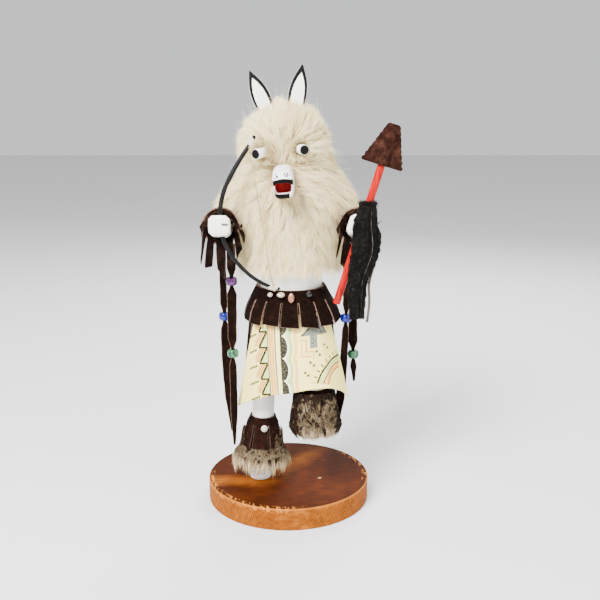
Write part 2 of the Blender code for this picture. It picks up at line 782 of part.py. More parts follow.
def boot(name, top, way, scale, fur_flare):
    """A suede cuff cut into tabs over a ring of fur, both round a leg. way runs down the leg."""
    inner = LEG_R + FIT_GAP
    collar = inner + FUR_COLLAR
    length = BOOT_CUFF * scale
    tall = BOOT_HEIGHT * scale
    fur_top = BOOT_FUR_TOP * scale

    def skirt(drop):
        return collar + LAYER_GAP + (BOOT_FLARE * scale - FUR_COLLAR) * (drop / length) ** 1.25

    turn = Vector((0, 0, -1)).rotation_difference(way)
    grid = []
    for phi in strip_angles(BOOT_TABS, BOOT_SLIT, BOOT_FACES):
        column = []
        for share in BOOT_ROWS:
            r = skirt(length * share) + FLAP_WAVE * (1 + ripple(phi, 4)) * share**2 if share else inner
            out = around(phi) * r
            out.rotate(turn)
            column.append(top + way * length * share + out)
        grid.append(column)
    cut = BOOT_FACES + 1
    cuff_name = f"boot_cuff_{name}"
    sheet(cuff_name, grid, SUEDE, "brown_suede", closed=True, keep=lambda i, j: j < 1 or i % cut != BOOT_FACES)

    outer = [(collar, fur_top)]
    for share in (0.5, 0.85):
        drop = fur_top + (length - fur_top) * share
        outer.append((skirt(drop) - LAYER_GAP, drop))
    hem = inner + fur_flare
    outer += [(skirt(length) + LAYER_GAP, length + 0.0025), (hem, tall * 0.88), (hem * 0.99, tall)]
    profile = [(r, -drop) for r, drop in outer]
    profile += [(inner + fur_flare * 0.55, -tall * 0.97), (inner, -tall * 0.80), (inner, -fur_top)]

    def swell(phi, radius, height):
        low = height < -length - 0.001 and radius > hem * 0.9
        return FUR_COLLAR * ripple(phi, 8, height * 90) * low

    turned(f"boot_fur_{name}", profile, top, -way, 20, "brown_fur", swell)


BOOT_TOP_AT = 0.0565
BUTTON_DROP = 0.007


def boots():
    up_leg = (STANDING_HIP - STANDING_FOOT).normalized()
    top = STANDING_FOOT + up_leg * BOOT_TOP_AT
    boot("standing", top, -up_leg, 1, BOOT_FUR_FLARE)
    shin = (RAISED_PATH[3] - RAISED_PATH[2]).normalized()
    reach = BOOT_HEIGHT * RAISED_BOOT_SCALE - SUEDE
    boot("raised", RAISED_PATH[3] - shin * reach, shin, RAISED_BOOT_SCALE, RAISED_FUR_FLARE)
    r = BUTTON_DIAMETER / 2
    skirt = LEG_R + FIT_GAP + FUR_COLLAR + LAYER_GAP + SUEDE + BOOT_FLARE * 0.3
    middle = top - up_leg * BUTTON_DROP + around(0.12) * (skirt + r * 0.5 + LAYER_GAP)
    rings = [
        rounded(middle + Vector((0, y * r, 0)), Vector((1, 0, 0)), Vector((0, 0, 1)), r * wide, r * wide, 2, 12)
        for y, wide in ((0.5, 0.6), (0.25, 0.95), (-0.2, 0.85), (-0.5, 0.35))
    ]
    loft("boot_button", rings, "shell")


# Sleeve cuffs and thongs

CUFF_LENGTH = 0.024
CUFF_FLARE = 0.0066
CUFF_STRIPS, CUFF_FACES, CUFF_SLIT = 11, 2, math.radians(7)
CUFF_RIM = 2
FRINGE_ROWS = 3
FRINGE_LENGTH = 0.025
FRINGE_SPLAY = 0.0034
CUFF_FRINGE_ARC = math.radians(112)


def sleeve_cuff(name, side, hand):
    """A flared suede cuff round the forearm, with fringe strips that hang from its front rim."""
    _, elbow, wrist, _ = arm_path(side, hand)
    back = (elbow - wrist).normalized()
    wrist = wrist + back * HAND_R * CUFF_BACK
    angles = strip_angles(CUFF_STRIPS, CUFF_SLIT, CUFF_FACES)
    grid = []
    for phi in angles:
        out = Vector((math.sin(phi), 0, -math.cos(phi)))
        below = max(0.0, math.cos(phi)) ** 0.5
        length = FRINGE_LENGTH * (0.30 + 0.70 * below) * (1 + 0.14 * math.sin(4 * phi + 1 + side))
        column = []
        for j in range(CUFF_RIM + 1):
            share = j / CUFF_RIM
            r = ARM_R + FIT_GAP + CUFF_FLARE * share**1.3
            column.append(wrist + back * CUFF_LENGTH * (1 - share) + out * r)
        for j in range(1, FRINGE_ROWS + 1):
            t = j / FRINGE_ROWS
            r = ARM_R + FIT_GAP + CUFF_FLARE + FRINGE_SPLAY * t * (1 + 0.5 * math.sin(5 * phi))
            column.append(wrist + out * r - back * SUEDE * math.sin(math.pi * t) + Vector((0, 0, -length * t)))
        grid.append(column)

    def keep(i, j):
        at = len(angles) - 2 - i
        fringed = at % (CUFF_FACES + 1) < CUFF_FACES and off_centre(angles[at]) < CUFF_FRINGE_ARC
        return j < CUFF_RIM or fringed

    sheet(name, grid[::-1], SUEDE, "brown_suede", closed=True, keep=keep)


# Name, hand, start from the middle of the hand, swing of the foot, foot's height in percent, beads
THONGS = [
    ("bow_outer", BOW_HAND, (-0.00105, 0.0294, -0.01715), (0.00525, 0), 12.9, [(41.9, "blue")]),
    ("bow_inner", BOW_HAND, (0.0070, 0.01785, -0.0161), (0.00035, 0), 10.6, [(51.1, "violet"), (33.7, "green")]),
    ("lance_front", LANCE_HAND, (-0.0063, 0.0224, -0.01785), (-0.00735, 0.0084), 13.4, [(41.9, "blue")]),
    ("lance_back", LANCE_HAND, (-0.00175, 0.0336, -0.01715), (0.00245, 0.0035), 25.0, [(32.0, "green")]),
]
THONG_ROWS = 10
BEAD_NARROW = 0.62
BEAD_WIDENING = 1.6
THONG_TAPER = 4.2
THONG_PHASE = 286


def push_from_belt(place):
    """How far, and which way, a bead at a place has to move out to clear the belt flap."""
    away = place - BODY
    away.z = 0
    beside = WAIST_Z > place.z > WAIST_Z - FLAP_LENGTH - BEAD_HEIGHT
    reach = flap_radius(1, math.atan2(away.x, -away.y)) + FLAP_WAVE * 2 + SUEDE + LAYER_GAP + BEAD_DIAMETER / 2
    return away.normalized() * max(0, reach - away.length) * beside


def thong(name, hand, offset, swing, foot, beads):
    """A suede thong that hangs from a cuff and narrows where it goes through its beads."""
    start = hand + Vector(offset)
    drop = start.z - pose(0, 0, foot).z
    bead_shares = [(start.z - pose(0, 0, at).z) / drop for at, _ in beads]

    def hang(share):
        return start + Vector((swing[0] * share**2, swing[1] * share**2, -drop * share))

    push = max((push_from_belt(hang(share)) for share in bead_shares), key=lambda out: out.length)

    def line(share):
        return hang(share) + push * min(1, share / bead_shares[0])

    stops = [j / THONG_ROWS for j in range(THONG_ROWS + 1)]
    reach = BEAD_HEIGHT / drop
    for bead_share in bead_shares:
        stops = [t for t in stops if abs(t - bead_share) > reach * BEAD_WIDENING]
        stops += [bead_share + reach * k for k in (-BEAD_WIDENING, -BEAD_NARROW, BEAD_NARROW, BEAD_WIDENING)]
    grid = [[], []]
    phase = THONG_PHASE * start.x
    for share in sorted(stops):
        wide = THONG_WIDTH * (0.86 + 0.14 * math.sin(share * 7 + phase))
        wide *= min(1, 0.25 + (1 - share) * THONG_TAPER)
        for bead_share in bead_shares:
            near = (abs(share - bead_share) / reach - BEAD_NARROW) / (BEAD_WIDENING - BEAD_NARROW)
            wide = THONG_WAIST + (wide - THONG_WAIST) * min(1, max(0, near))
        curl = SUEDE * 0.6 * math.sin(share * 11 + phase) * wide / THONG_WIDTH
        for column, across in zip(grid, (-1, 1)):
            column.append(line(share) + Vector((across * wide / 2, curl * across, 0)))
    sheet(f"thong_{name}", grid, SUEDE, "brown_suede")
    r, h, bore = BEAD_DIAMETER / 2, BEAD_HEIGHT / 2, BEAD_BORE / 2
    profile = [(bore, h), (r * 0.8, h * 0.92), (r, h * 0.3), (r, -h * 0.3), (r * 0.8, -h * 0.92), (bore, -h)]
    for bead_share, (_, colour) in zip(bead_shares, beads):
        middle = line(bead_share) - Vector((0, SUEDE / 2, 0))
        turned(f"bead_{name}_{colour}", profile, middle, Vector((0, 0, 1)), 10, f"{colour}_bead")


def main():
    clear_scene()
    base()
    torso()
    standing_leg()
    raised_leg()
    stave, radii = bow_line()
    arm("arm_bow_side", -1, BOW_HAND, stave, radii, 0)
    lean = math.atan2(LANCE_WAY.x, LANCE_WAY.z)
    arm("arm_lance_side", 1, LANCE_HAND, [LANCE_FOOT, LANCE_TIP], [SHAFT_R, SHAFT_R], lean)
    head()
    bow()
    lance()
    banner()
    kilt()
    apron()
    belt_flap()
    trinkets()
    boots()
    sleeve_cuff("sleeve_cuff_bow_side", -1, BOW_HAND)
    sleeve_cuff("sleeve_cuff_lance_side", 1, LANCE_HAND)
    for row in THONGS:
        thong(*row)


main()
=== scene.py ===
"""The looks of the dancing doll: fur, suede, printed cloth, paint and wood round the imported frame.

Metres, in the CAD's own frame: +Z up, the doll looks along -Y, and the lance is on +X.
Angles round an upright axis run from the front, -Y, towards +X.
"""

import math

import bpy
import numpy as np
from mathutils import Matrix, Vector, kdtree
from mathutils.bvhtree import BVHTree


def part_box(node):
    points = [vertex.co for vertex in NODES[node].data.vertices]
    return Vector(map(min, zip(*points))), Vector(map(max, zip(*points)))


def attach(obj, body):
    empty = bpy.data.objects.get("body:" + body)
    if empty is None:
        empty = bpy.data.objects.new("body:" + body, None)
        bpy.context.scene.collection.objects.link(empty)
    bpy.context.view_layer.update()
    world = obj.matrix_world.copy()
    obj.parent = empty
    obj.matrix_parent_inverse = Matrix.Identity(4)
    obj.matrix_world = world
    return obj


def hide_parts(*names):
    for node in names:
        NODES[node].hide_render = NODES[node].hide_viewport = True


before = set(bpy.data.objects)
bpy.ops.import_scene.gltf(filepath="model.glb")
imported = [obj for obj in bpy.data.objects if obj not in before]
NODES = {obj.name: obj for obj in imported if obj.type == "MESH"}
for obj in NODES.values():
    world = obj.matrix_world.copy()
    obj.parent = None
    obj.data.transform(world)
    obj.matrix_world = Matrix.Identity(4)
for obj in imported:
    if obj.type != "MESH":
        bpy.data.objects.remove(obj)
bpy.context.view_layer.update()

# Sizes shared with the CAD
PERCENT = 0.0035
BASE_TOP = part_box("base")[1][2]
BASE_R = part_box("base")[1][0]
TORSO_LOW, TORSO_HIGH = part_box("torso")
TORSO_R = (TORSO_HIGH[0] - TORSO_LOW[0]) / 2
TORSO_X = (TORSO_HIGH[0] + TORSO_LOW[0]) / 2
LEG_R = 0.0095
ARM_R = 0.007
HAND_R = 0.0084
SUEDE = 0.0012
CLOTH = 0.0008
LAYER_GAP = 0.0006
FIT_GAP = 0.0004
FUR_COLLAR = 0.0012
HEAD_ROLL = math.radians(5)


# Places


def vec(x, y, z):
    return np.array((x, y, z), dtype=float)


def pose(x, y, z):
    """A point of the pose, in percent of the figure's height above the base."""
    return vec(x * PERCENT, y * PERCENT, BASE_TOP + z * PERCENT)


def around(phi):
    """The level direction at an angle from the front towards +X."""
    return vec(math.sin(phi), -math.cos(phi), 0)


def unit(v):
    return v / np.maximum(np.linalg.norm(v, axis=-1, keepdims=True), 1e-12)


def circle(sides):
    """Evenly spaced angles, once round."""
    return np.linspace(0, 2 * math.pi, sides, False)


def turn_to(way):
    """The rotation that takes +Z to a direction, as a numpy matrix."""
    return np.array(Vector((0, 0, 1)).rotation_difference(Vector(way)).to_matrix())


def rolled(angle):
    """A rotation about Y, as a numpy matrix."""
    return np.array(Matrix.Rotation(angle, 3, "Y"))


def between(table, at):
    """Reads a table of (place, value, value, ...) rows at a place, along straight lines."""
    rows = np.array(table, dtype=float)
    return np.array([np.interp(at, rows[:, 0], column) for column in rows[:, 1:].T])


def ripple(phi, count, start=0.0):
    """A repeatable wave round an axis, with uneven crests."""
    return 0.6 * np.sin(count * phi + start) + 0.4 * np.sin((count * 2 + 1) * phi + 2.3 * start)


def smooth_path(points, steps):
    """A smooth curve through the points, with that many steps between each pair."""
    points = [np.array(p, dtype=float) for p in points]
    ends = [points[0] * 2 - points[1], *points, points[-1] * 2 - points[-2]]
    path = []
    for a, b, c, d in zip(ends, ends[1:], ends[2:], ends[3:]):
        for k in range(steps):
            t = k / steps
            bend = (a * 2 - b * 5 + c * 4 - d) * t**2 + (b * 3 - a - c * 3 + d) * t**3
            path.append(0.5 * (b * 2 + (c - a) * t + bend))
    return np.array([*path, points[-1]])


BODY = vec(TORSO_X, 0, 0)
BOW_HAND, LANCE_HAND = pose(-15.0, -12.0, 64.5), pose(15.9, -12.0, 64.5)
WAIST_Z = pose(0, 0, 48.9)[2]
HEAD = pose(-1.0, 0, 77.4)
FACE_TURN = rolled(-HEAD_ROLL)


def on_head(x, y, z):
    """A place on the head, in percent from the head's middle, with the head's roll."""
    return HEAD + FACE_TURN @ (vec(x, y, z) * PERCENT)


# Node materials


def tone(*rgb):
    """A colour given as it looks on a screen, 0 to 255."""
    linear = [((c / 255 + 0.055) / 1.055) ** 2.4 if c > 10 else c / 255 / 12.92 for c in rgb]
    return (*linear, 1)


class Wire:
    """A number inside a material, which can be worked with like a plain number."""

    def __init__(self, finish, socket):
        self.finish = finish
        self.socket = socket

    def math(self, operation, *others):
        node = self.finish.tree.nodes.new("ShaderNodeMath")
        node.operation = operation
        for place, value in zip(node.inputs, (self, *others)):
            self.finish.plug(place, value)
        return Wire(self.finish, node.outputs[0])

    def __add__(self, other):
        return self.math("ADD", other)

    def __sub__(self, other):
        return self.math("SUBTRACT", other)

    def __rsub__(self, other):
        return self.math("MULTIPLY_ADD", -1.0, other)

    def __mul__(self, other):
        return self.math("MULTIPLY", other)

    def __truediv__(self, other):
        return self.math("DIVIDE", other)

    def __abs__(self):
        return self.math("ABSOLUTE")

    def __and__(self, other):
        return self.math("MINIMUM", other)

    def __or__(self, other):
        return self.math("MAXIMUM", other)

    __radd__ = __add__
    __rmul__ = __mul__

    def over(self, level, soft=1e-4):
        """1 where the number is over a level and 0 under it, with an edge that wide."""
        node = self.finish.tree.nodes.new("ShaderNodeMapRange")
        self.finish.plug(node.inputs["Value"], self)
        low = level - soft / 2
        self.finish.plug(node.inputs["From Min"], low)
        self.finish.plug(node.inputs["From Max"], low + soft)
        return Wire(self.finish, node.outputs[0])

    def under(self, level, soft=1e-4):
        return self.over(level, soft).inverse()

    def inverse(self):
        return self.math("MULTIPLY_ADD", -1.0, 1.0)

    def within(self, low, high, soft=1e-4):
        return self.over(low, soft) & self.under(high, soft)


def distance(x, y):
    """The length of the flat vector (x, y), as a wire."""
    return (x * x + y * y).math("SQRT")


class Finish:
    """A node material: one Principled shader and the nodes that feed it."""

    def __init__(self, name, roughness, **sockets):
        self.material = bpy.data.materials.new(name)
        self.material.use_nodes = True
        self.tree = self.material.node_tree
        self.shader = self.tree.nodes["Principled BSDF"]
        self.shader.inputs["Roughness"].default_value = roughness
        for key, value in sockets.items():
            self.shader.inputs[key.replace("_", " ")].default_value = value
        self.coordinates = self.tree.nodes.new("ShaderNodeTexCoord").outputs["Object"]

    def plug(self, place, value):
        if isinstance(value, Wire):
            value = value.socket
        if isinstance(value, bpy.types.NodeSocket):
            self.tree.links.new(value, place)
        else:
            place.default_value = value

    def attribute(self, name):
        """The three numbers of a mesh attribute, as wires."""
        node = self.tree.nodes.new("ShaderNodeAttribute")
        node.attribute_name = name
        return self.split(node.outputs["Vector"])

    def split(self, vector):
        node = self.tree.nodes.new("ShaderNodeSeparateXYZ")
        self.plug(node.inputs[0], vector)
        return [Wire(self, out) for out in node.outputs]

    def place(self):
        """Where a point is, as wires, in metres."""
        return self.split(self.coordinates)

    def noise(self, size, detail=3.0, rough=0.55, stretch=(1, 1, 1), turn=(0, 0, 0), swirl=0.0):
        """Cloudy noise from 0 to 1, with features about that many metres across."""
        mapping = self.tree.nodes.new("ShaderNodeMapping")
        self.plug(mapping.inputs["Vector"], self.coordinates)
        mapping.inputs["Rotation"].default_value = turn
        mapping.inputs["Scale"].default_value = [1 / (size * s) for s in stretch]
        node = self.tree.nodes.new("ShaderNodeTexNoise")
        self.plug(node.inputs["Vector"], mapping.outputs[0])
        for key, value in (("Scale", 1.0), ("Detail", detail), ("Roughness", rough), ("Distortion", swirl)):
            node.inputs[key].default_value = value
        return Wire(self, node.outputs[0])

    def ramp(self, source, *stops):
        """A colour read from a number: stops are (place, colour)."""
        node = self.tree.nodes.new("ShaderNodeValToRGB")
        self.plug(node.inputs[0], source)
        elements = node.color_ramp.elements
        while len(elements) < len(stops):
            elements.new(0.5)
        for element, (at, colour) in zip(elements, stops):
            element.position = at
            element.color = colour
        return node.outputs[0]

    def mix(self, share, first, second):
        node = self.tree.nodes.new("ShaderNodeMix")
        node.data_type = "RGBA"
        self.plug(node.inputs[0], share)
        self.plug(node.inputs[6], first)
        self.plug(node.inputs[7], second)
        return node.outputs[2]

    def layers(self, base, *coats):
        """A base colour with coats over it: each is (where, colour)."""
        for where, colour in coats:
            base = self.mix(where, base, colour)
        return base

    def colour(self, source):
        self.plug(self.shader.inputs["Base Color"], source)

    def roughness(self, wire):
        self.plug(self.shader.inputs["Roughness"], wire)

    def bump(self, height, distance):
        """Relief of that many metres where the height goes from 0 to 1."""
        node = self.tree.nodes.new("ShaderNodeBump")
        node.inputs["Strength"].default_value = 1.0
        node.inputs["Distance"].default_value = distance
        self.plug(node.inputs["Height"], height)
        before = self.shader.inputs["Normal"].links
        if before:
            self.plug(node.inputs["Normal"], before[0].from_socket)
        self.plug(self.shader.inputs["Normal"], node.outputs[0])


# A knot and a pale speck on top of the base: x, y, size and colour
WOOD_MARKS = [(-0.060, 0.008, 0.0036, (54, 25, 8)), (0.0275, -0.010, 0.0011, (240, 220, 180))]


def wood_finish():
    """Pine cut across a slanting log, stained orange brown on top and pale at the side, with worn edges."""
    f = Finish("base_wood", 0.65, Specular_IOR_Level=0.05)
    x, y, z = f.place()
    lean = math.radians(35)
    over = x * math.cos(lean) - y * math.sin(lean) - 0.10
    under = z + 0.018
    warp = f.noise(0.030, 3, 0.5)
    far = distance(over, under) + warp * 0.0040
    ring = (far / 0.0016).math("FRACT")
    late = ring.over(0.62, 0.5) & ring.under(0.97, 0.06)
    strong = f.noise(0.011, 2, 0.5).over(0.42, 0.4)
    fine = f.noise(0.0010, 4, 0.7, (14, 1, 3), (0, 0, -lean))
    tiers = (0.30, 0.50, 0.70)
    stain = (tone(44, 15, 2), tone(66, 26, 4), tone(96, 44, 8))
    top = f.ramp(fine * 0.6 + warp * 0.4, *zip(tiers, stain))
    top = f.mix(late * strong * 0.9, top, tone(20, 6, 1))
    bare = (tone(112, 54, 9), tone(142, 76, 16), tone(176, 106, 30))
    side = f.ramp(fine * 0.7 + warp * 0.3, *zip(tiers, bare))
    side = f.mix(late * strong * 0.75, side, tone(66, 25, 3))
    # A paler band and a paler patch on top, round and in front of the standing foot
    sweep = (f.noise(0.030, 3, 0.5) - 0.5) * 0.016
    band = (abs(over + 0.110) + sweep).under(0.009, 0.014) * y.under(0.045, 0.03) * y.over(-0.024, 0.014)
    patch = (abs(y + 0.015) + sweep).under(0.008, 0.010) * x.under(-0.018, 0.012)
    colour = f.mix((band | patch) * 0.85, top, side)
    for mark_x, mark_y, size, shade in WOOD_MARKS:
        spot = distance(x - mark_x, (y - mark_y) * 1.6) + fine * 0.003 - 0.0015
        colour = f.mix(spot.under(size, size * 0.8) * 0.8, colour, tone(*shade))
    rim = distance(x, y)
    colour = f.mix(rim.over(BASE_R - 0.0009, 0.0006), colour, side)
    chipped = f.noise(0.0045, 3, 0.65, (0.5, 1.6, 1), (0, 0, 0.7))
    front_left = x.under(0.002, 0.03) & y.under(-0.002, 0.02)
    right = x.over(0.050, 0.01) & y.over(-0.012, 0.01)
    torn = front_left | right | chipped.over(0.72, 0.02)
    chips = chipped.over(0.55, 0.03) & torn & rim.over(BASE_R - 0.0044, 0.002)
    chips = chips & z.over(BASE_TOP - 0.0030, 0.002)
    colour = f.mix(chips * 0.85, colour, tone(200, 126, 46))
    line = rim.within(BASE_R - 0.0026, BASE_R - 0.0008, 0.0008) & z.over(BASE_TOP - 0.0008, 0.0006)
    line = line & chipped.under(0.58, 0.04)
    colour = f.mix(line * 0.45, colour, tone(40, 15, 3))
    edge = rim.over(BASE_R - 0.0007, 0.0005) & z.over(BASE_TOP - 0.0016, 0.0008)
    colour = f.mix(edge * 0.5, colour, tone(186, 116, 44))
    f.colour(f.mix(f.noise(0.012, 4, 0.6).over(0.60, 0.2) * 0.25, colour, tone(58, 22, 4)))
    f.roughness(fine * 0.2 + 0.52)
    f.bump(fine * 0.6 + late * 0.4, 0.00022)
    return f


def paint_finish(name, colour, dirt, roughness=0.42):
    """Brushed paint on wood, with faint strokes, grain that shows through and a little grime."""
    f = Finish(name, roughness, Specular_IOR_Level=0.3)
    strokes = f.noise(0.0022, 4, 0.6, (1, 1, 9))
    cloud = f.noise(0.011, 4, 0.6)
    base = f.mix(cloud.over(0.5, 0.4) * 0.35, colour, dirt)
    f.colour(f.mix(strokes.over(0.62, 0.2) * 0.22, base, dirt))
    f.roughness(strokes * 0.22 + (roughness - 0.1))
    f.bump(strokes, 0.00018)
    return f


def hand_finish(name, hand, low, high):
    """White paint with the short carved line of a thumb, painted grey as shade in its groove."""
    f = paint_finish(f"{name}_paint", WHITE, WHITE_DIRT)
    x, y, z = f.place()
    drop = z - (hand[2] + 0.0027) + (x - hand[0]) * 0.08
    across = x.within(hand[0] + low, hand[0] + high, 0.0006)
    line = abs(drop).under(0.0009, 0.0004) & across & y.under(hand[1], 0.001)
    before = f.shader.inputs["Base Color"].links[0].from_socket
    # Painted shade: the carved line is coloured grey as if in shadow
    f.colour(f.mix(line * 0.95, before, tone(62, 64, 64)))
    f.bump(line.inverse(), 0.0006)
    return f


WHITE = tone(248, 247, 242)
WHITE_DIRT = tone(222, 216, 203)


def suede_finish(name, dark, middle, pale, below=None):
    """Brushed leather, matte and cloudy with a fine tooth. It is dark below a height, if one is given."""
    f = Finish(name, 0.95, Specular_IOR_Level=0.05)
    nap = f.noise(0.0065, 5, 0.62, swirl=0.6)
    tooth = f.noise(0.0007, 3, 0.7)
    colour = f.ramp(nap * 0.62 + tooth * 0.38, (0.34, dark), (0.50, middle), (0.68, pale))
    if below is not None:
        colour = f.mix(f.place()[2].under(below, 0.010) * 0.85, colour, dark)
    f.colour(colour)
    f.bump(tooth * 0.6 + nap * 0.4, 0.0005)
    return f


def edge_finish(name, colour, dark):
    """The cut edge of the leather, paler and fibrous."""
    f = Finish(name, 0.9)
    f.colour(f.mix(f.noise(0.0012, 3, 0.7).over(0.5, 0.3), colour, dark))
    f.bump(f.noise(0.0005, 2), 0.0002)
    return f


def fur_finish(name, root, low, high, stain, streak):
    """Hair, darker at the root and paler to the tip: the darker root is painted shade among the hairs. The
    strand attribute holds along, tone and stain.
    """
    f = Finish(name, 0.7, Specular_IOR_Level=0.12)
    along, shade, mark = f.attribute("strand")
    # Painted shade: each hair is drawn towards the root colour near its root, as if shaded by the hair around
    # it
    base = f.mix(along.over(0.30, 0.7), root, f.mix(shade, low, high))
    # The mark draws a hair to the stain colour: random stained locks on the hood, and dark locks on the
    # boots, on the raised one partly painted shade
    base = f.mix(mark, base, stain)
    wisps = f.noise(0.0016, 3, 0.6)
    f.colour(f.mix(wisps.over(0.55, 0.3) * (1 - mark) * 0.25, base, streak))
    f.roughness(wisps * 0.2 + 0.6)
    return f


def bead_finish(name, colour, pearl):
    """A moulded glossy bead with a pearly swirl."""
    f = Finish(name, 0.12, Coat_Weight=0.25, Coat_Roughness=0.05, Specular_IOR_Level=0.35)
    swirl = f.noise(0.0035, 3, 0.5, (1, 1, 2.5), swirl=2.0)
    f.colour(f.mix(swirl.over(0.52, 0.25), colour, pearl))
    f.roughness(swirl * 0.12 + 0.07)
    f.bump(swirl, 0.00008)
    return f


def stone_finish(name, colour, vein):
    f = Finish(name, 0.28, Coat_Weight=0.4, Coat_Roughness=0.15)
    cloud = f.noise(0.0014, 4, 0.6, swirl=1.0)
    f.colour(f.mix(cloud.over(0.5, 0.2), colour, vein))
    f.bump(cloud, 0.0001)
    return f


def twine_finish(name, *tones):
    """Cotton twine, from its shadowed fibres to its pale ones."""
    f = Finish(name, 0.9, Sheen_Weight=0.2)
    fibre = f.noise(0.0004, 3, 0.6, (1, 1, 3))
    f.colour(f.ramp(fibre, *zip((0.32, 0.55, 0.75), tones)))
    f.bump(fibre, 0.00012)
    return f


def red_finish():
    """Bright red paint on the dowel, with scuffs here and there."""
    f = Finish("red_paint", 0.45, Specular_IOR_Level=0.12)
    strokes = f.noise(0.002, 4, 0.6, (1, 1, 8))
    scuff = f.noise(0.0022, 4, 0.6).over(0.68, 0.04)
    base = f.ramp(strokes, (0.35, tone(128, 2, 2)), (0.6, tone(172, 6, 5)), (0.8, tone(200, 16, 12)))
    f.colour(f.mix(scuff * 0.5, base, tone(104, 10, 8)))
    f.roughness(strokes * 0.25 + 0.24)
    f.bump(strokes, 0.0001)
    return f


def bow_finish():
    f = Finish("black_paint", 0.5, Specular_IOR_Level=0.14)
    rub = f.noise(0.0018, 4, 0.6, (1, 1, 5))
    f.colour(f.ramp(rub, (0.35, tone(6, 6, 7)), (0.6, tone(15, 15, 16)), (0.8, tone(44, 43, 42))))
    f.roughness(rub * 0.3 + 0.32)
    f.bump(rub, 0.00015)
    return f


# Meshes


def link(name, data):
    """A new object in the scene."""
    made = bpy.data.objects.new(name, data)
    bpy.context.collection.objects.link(made)
    return made


def added(name, mesh, nodes):
    """A mesh as a piece that rides with the doll and stands for CAD nodes."""
    made = link(name, mesh)
    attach(made, "root")
    if nodes:
        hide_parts(*nodes)
    return made


def piece(name, points, faces, finish, slot, *nodes, sharp=40, more=()):
    """One smooth mesh piece, with edges that stay sharp over an angle in degrees."""
    mesh = bpy.data.meshes.new(name)
    mesh.from_pydata([tuple(p) for p in points], [], faces)
    mesh.update()
    mesh.shade_smooth()
    mesh.set_sharp_from_angle(angle=math.radians(sharp))
    for one in (finish, *more):
        mesh.materials.append(one.material)
    return added(name, mesh, nodes)


def give(obj, name, values):
    """Stores three numbers at each vertex, for the material to read."""
    values = np.asarray(values, dtype=np.float32)
    obj.data.attributes.new(name, "FLOAT_VECTOR", "POINT").data.foreach_set("vector", values.ravel())


def ring_faces(rows, sides, closed=False, caps=True):
    """Faces between rings of points. closed joins the last ring to the first."""
    faces = []
    for j in range(rows if closed else rows - 1):
        low, high = j * sides, (j + 1) % rows * sides
        for i in range(sides):
            k = (i + 1) % sides
            faces.append((low + i, low + k, high + k, high + i))
    if caps and not closed:
        faces.append(tuple(reversed(range(sides))))
        faces.append(tuple(range((rows - 1) * sides, rows * sides)))
    return faces


def tube_rings(path, radii, sides):
    """Rings along a path, turned as little as they can be."""
    path = [Vector(p) for p in path]
    first = (path[1] - path[0]).normalized()
    side = first.orthogonal().normalized()
    rings = []
    before = first
    for i, p in enumerate(path):
        after = (path[min(i + 1, len(path) - 1)] - path[max(i - 1, 0)]).normalized()
        side.rotate(before.rotation_difference(after))
        before = after
        up = after.cross(side)
        rings.append([p + (side * math.cos(a) + up * math.sin(a)) * radii[i] for a in circle(sides)])
    return rings


def loft(name, rings, finish, slot, *nodes, sharp=40):
    """A closed piece through rings of points."""
    points = [p for ring in rings for p in ring]
    return piece(name, points, ring_faces(len(rings), len(rings[0])), finish, slot, *nodes, sharp=sharp)


def tube(name, path, radii, sides, finish, slot, *nodes):
    return loft(name, tube_rings(path, radii, sides), finish, slot, *nodes)


def turned(name, profile, centre, way, sides, finish, slot, *nodes):
    """A shape turned round an axis: (radius, height) down the outside and up the bore."""
    turn = turn_to(way)
    points = []
    for radius, height in profile:
        for a in -circle(sides):
            points.append(centre + turn @ (around(a) * radius + vec(0, 0, height)))
    return piece(name, points, ring_faces(len(profile), sides, closed=True), finish, slot, *nodes)


def hide(name, grid, thickness, finish, rim, slot, *nodes, keep=None, closed=False, bevel=0.00028):
    """A thin closed piece on a grid of columns, with its own finish on the cut edge.

    The thickness grows outwards, along the normals. keep is true for the faces that stay.
    """
    columns, rows = grid.shape[:2]
    points = grid.reshape(-1, 3)
    faces = []
    for i in range(columns if closed else columns - 1):
        k = (i + 1) % columns
        for j in range(rows - 1):
            if keep is None or keep(i, j):
                faces.append((i * rows + j, i * rows + j + 1, k * rows + j + 1, k * rows + j))
    used = sorted({v for face in faces for v in face})
    place = {v: n for n, v in enumerate(used)}
    kept = [tuple(place[v] for v in face) for face in faces]
    made = piece(name, points[used], kept, finish, slot, *nodes, more=(rim,))
    thick = made.modifiers.new("thickness", "SOLIDIFY")
    thick.thickness = thickness
    thick.offset = 1
    thick.use_even_offset = True
    thick.material_offset_rim = 1
    if bevel:
        soft = made.modifiers.new("edge", "BEVEL")
        soft.width = bevel
        soft.segments = 1
        soft.limit_method = "ANGLE"
        soft.angle_limit = math.radians(50)
        soft.material = 1
    return made


# Fur


HARD = ("muzzle", *(f"{part}_{side}_side" for part in ("eye", "ear", "arm") for side in ("bow", "lance")))


def node_tree(names):
    """One search tree over the faces of several CAD nodes."""
    points, faces = [], []
    for name in names:
        mesh = NODES[name].data
        start = len(points)
        points += [v.co.copy() for v in mesh.vertices]
        faces += [tuple(start + v for v in p.vertices) for p in mesh.polygons]
    return BVHTree.FromPolygons(points, faces)


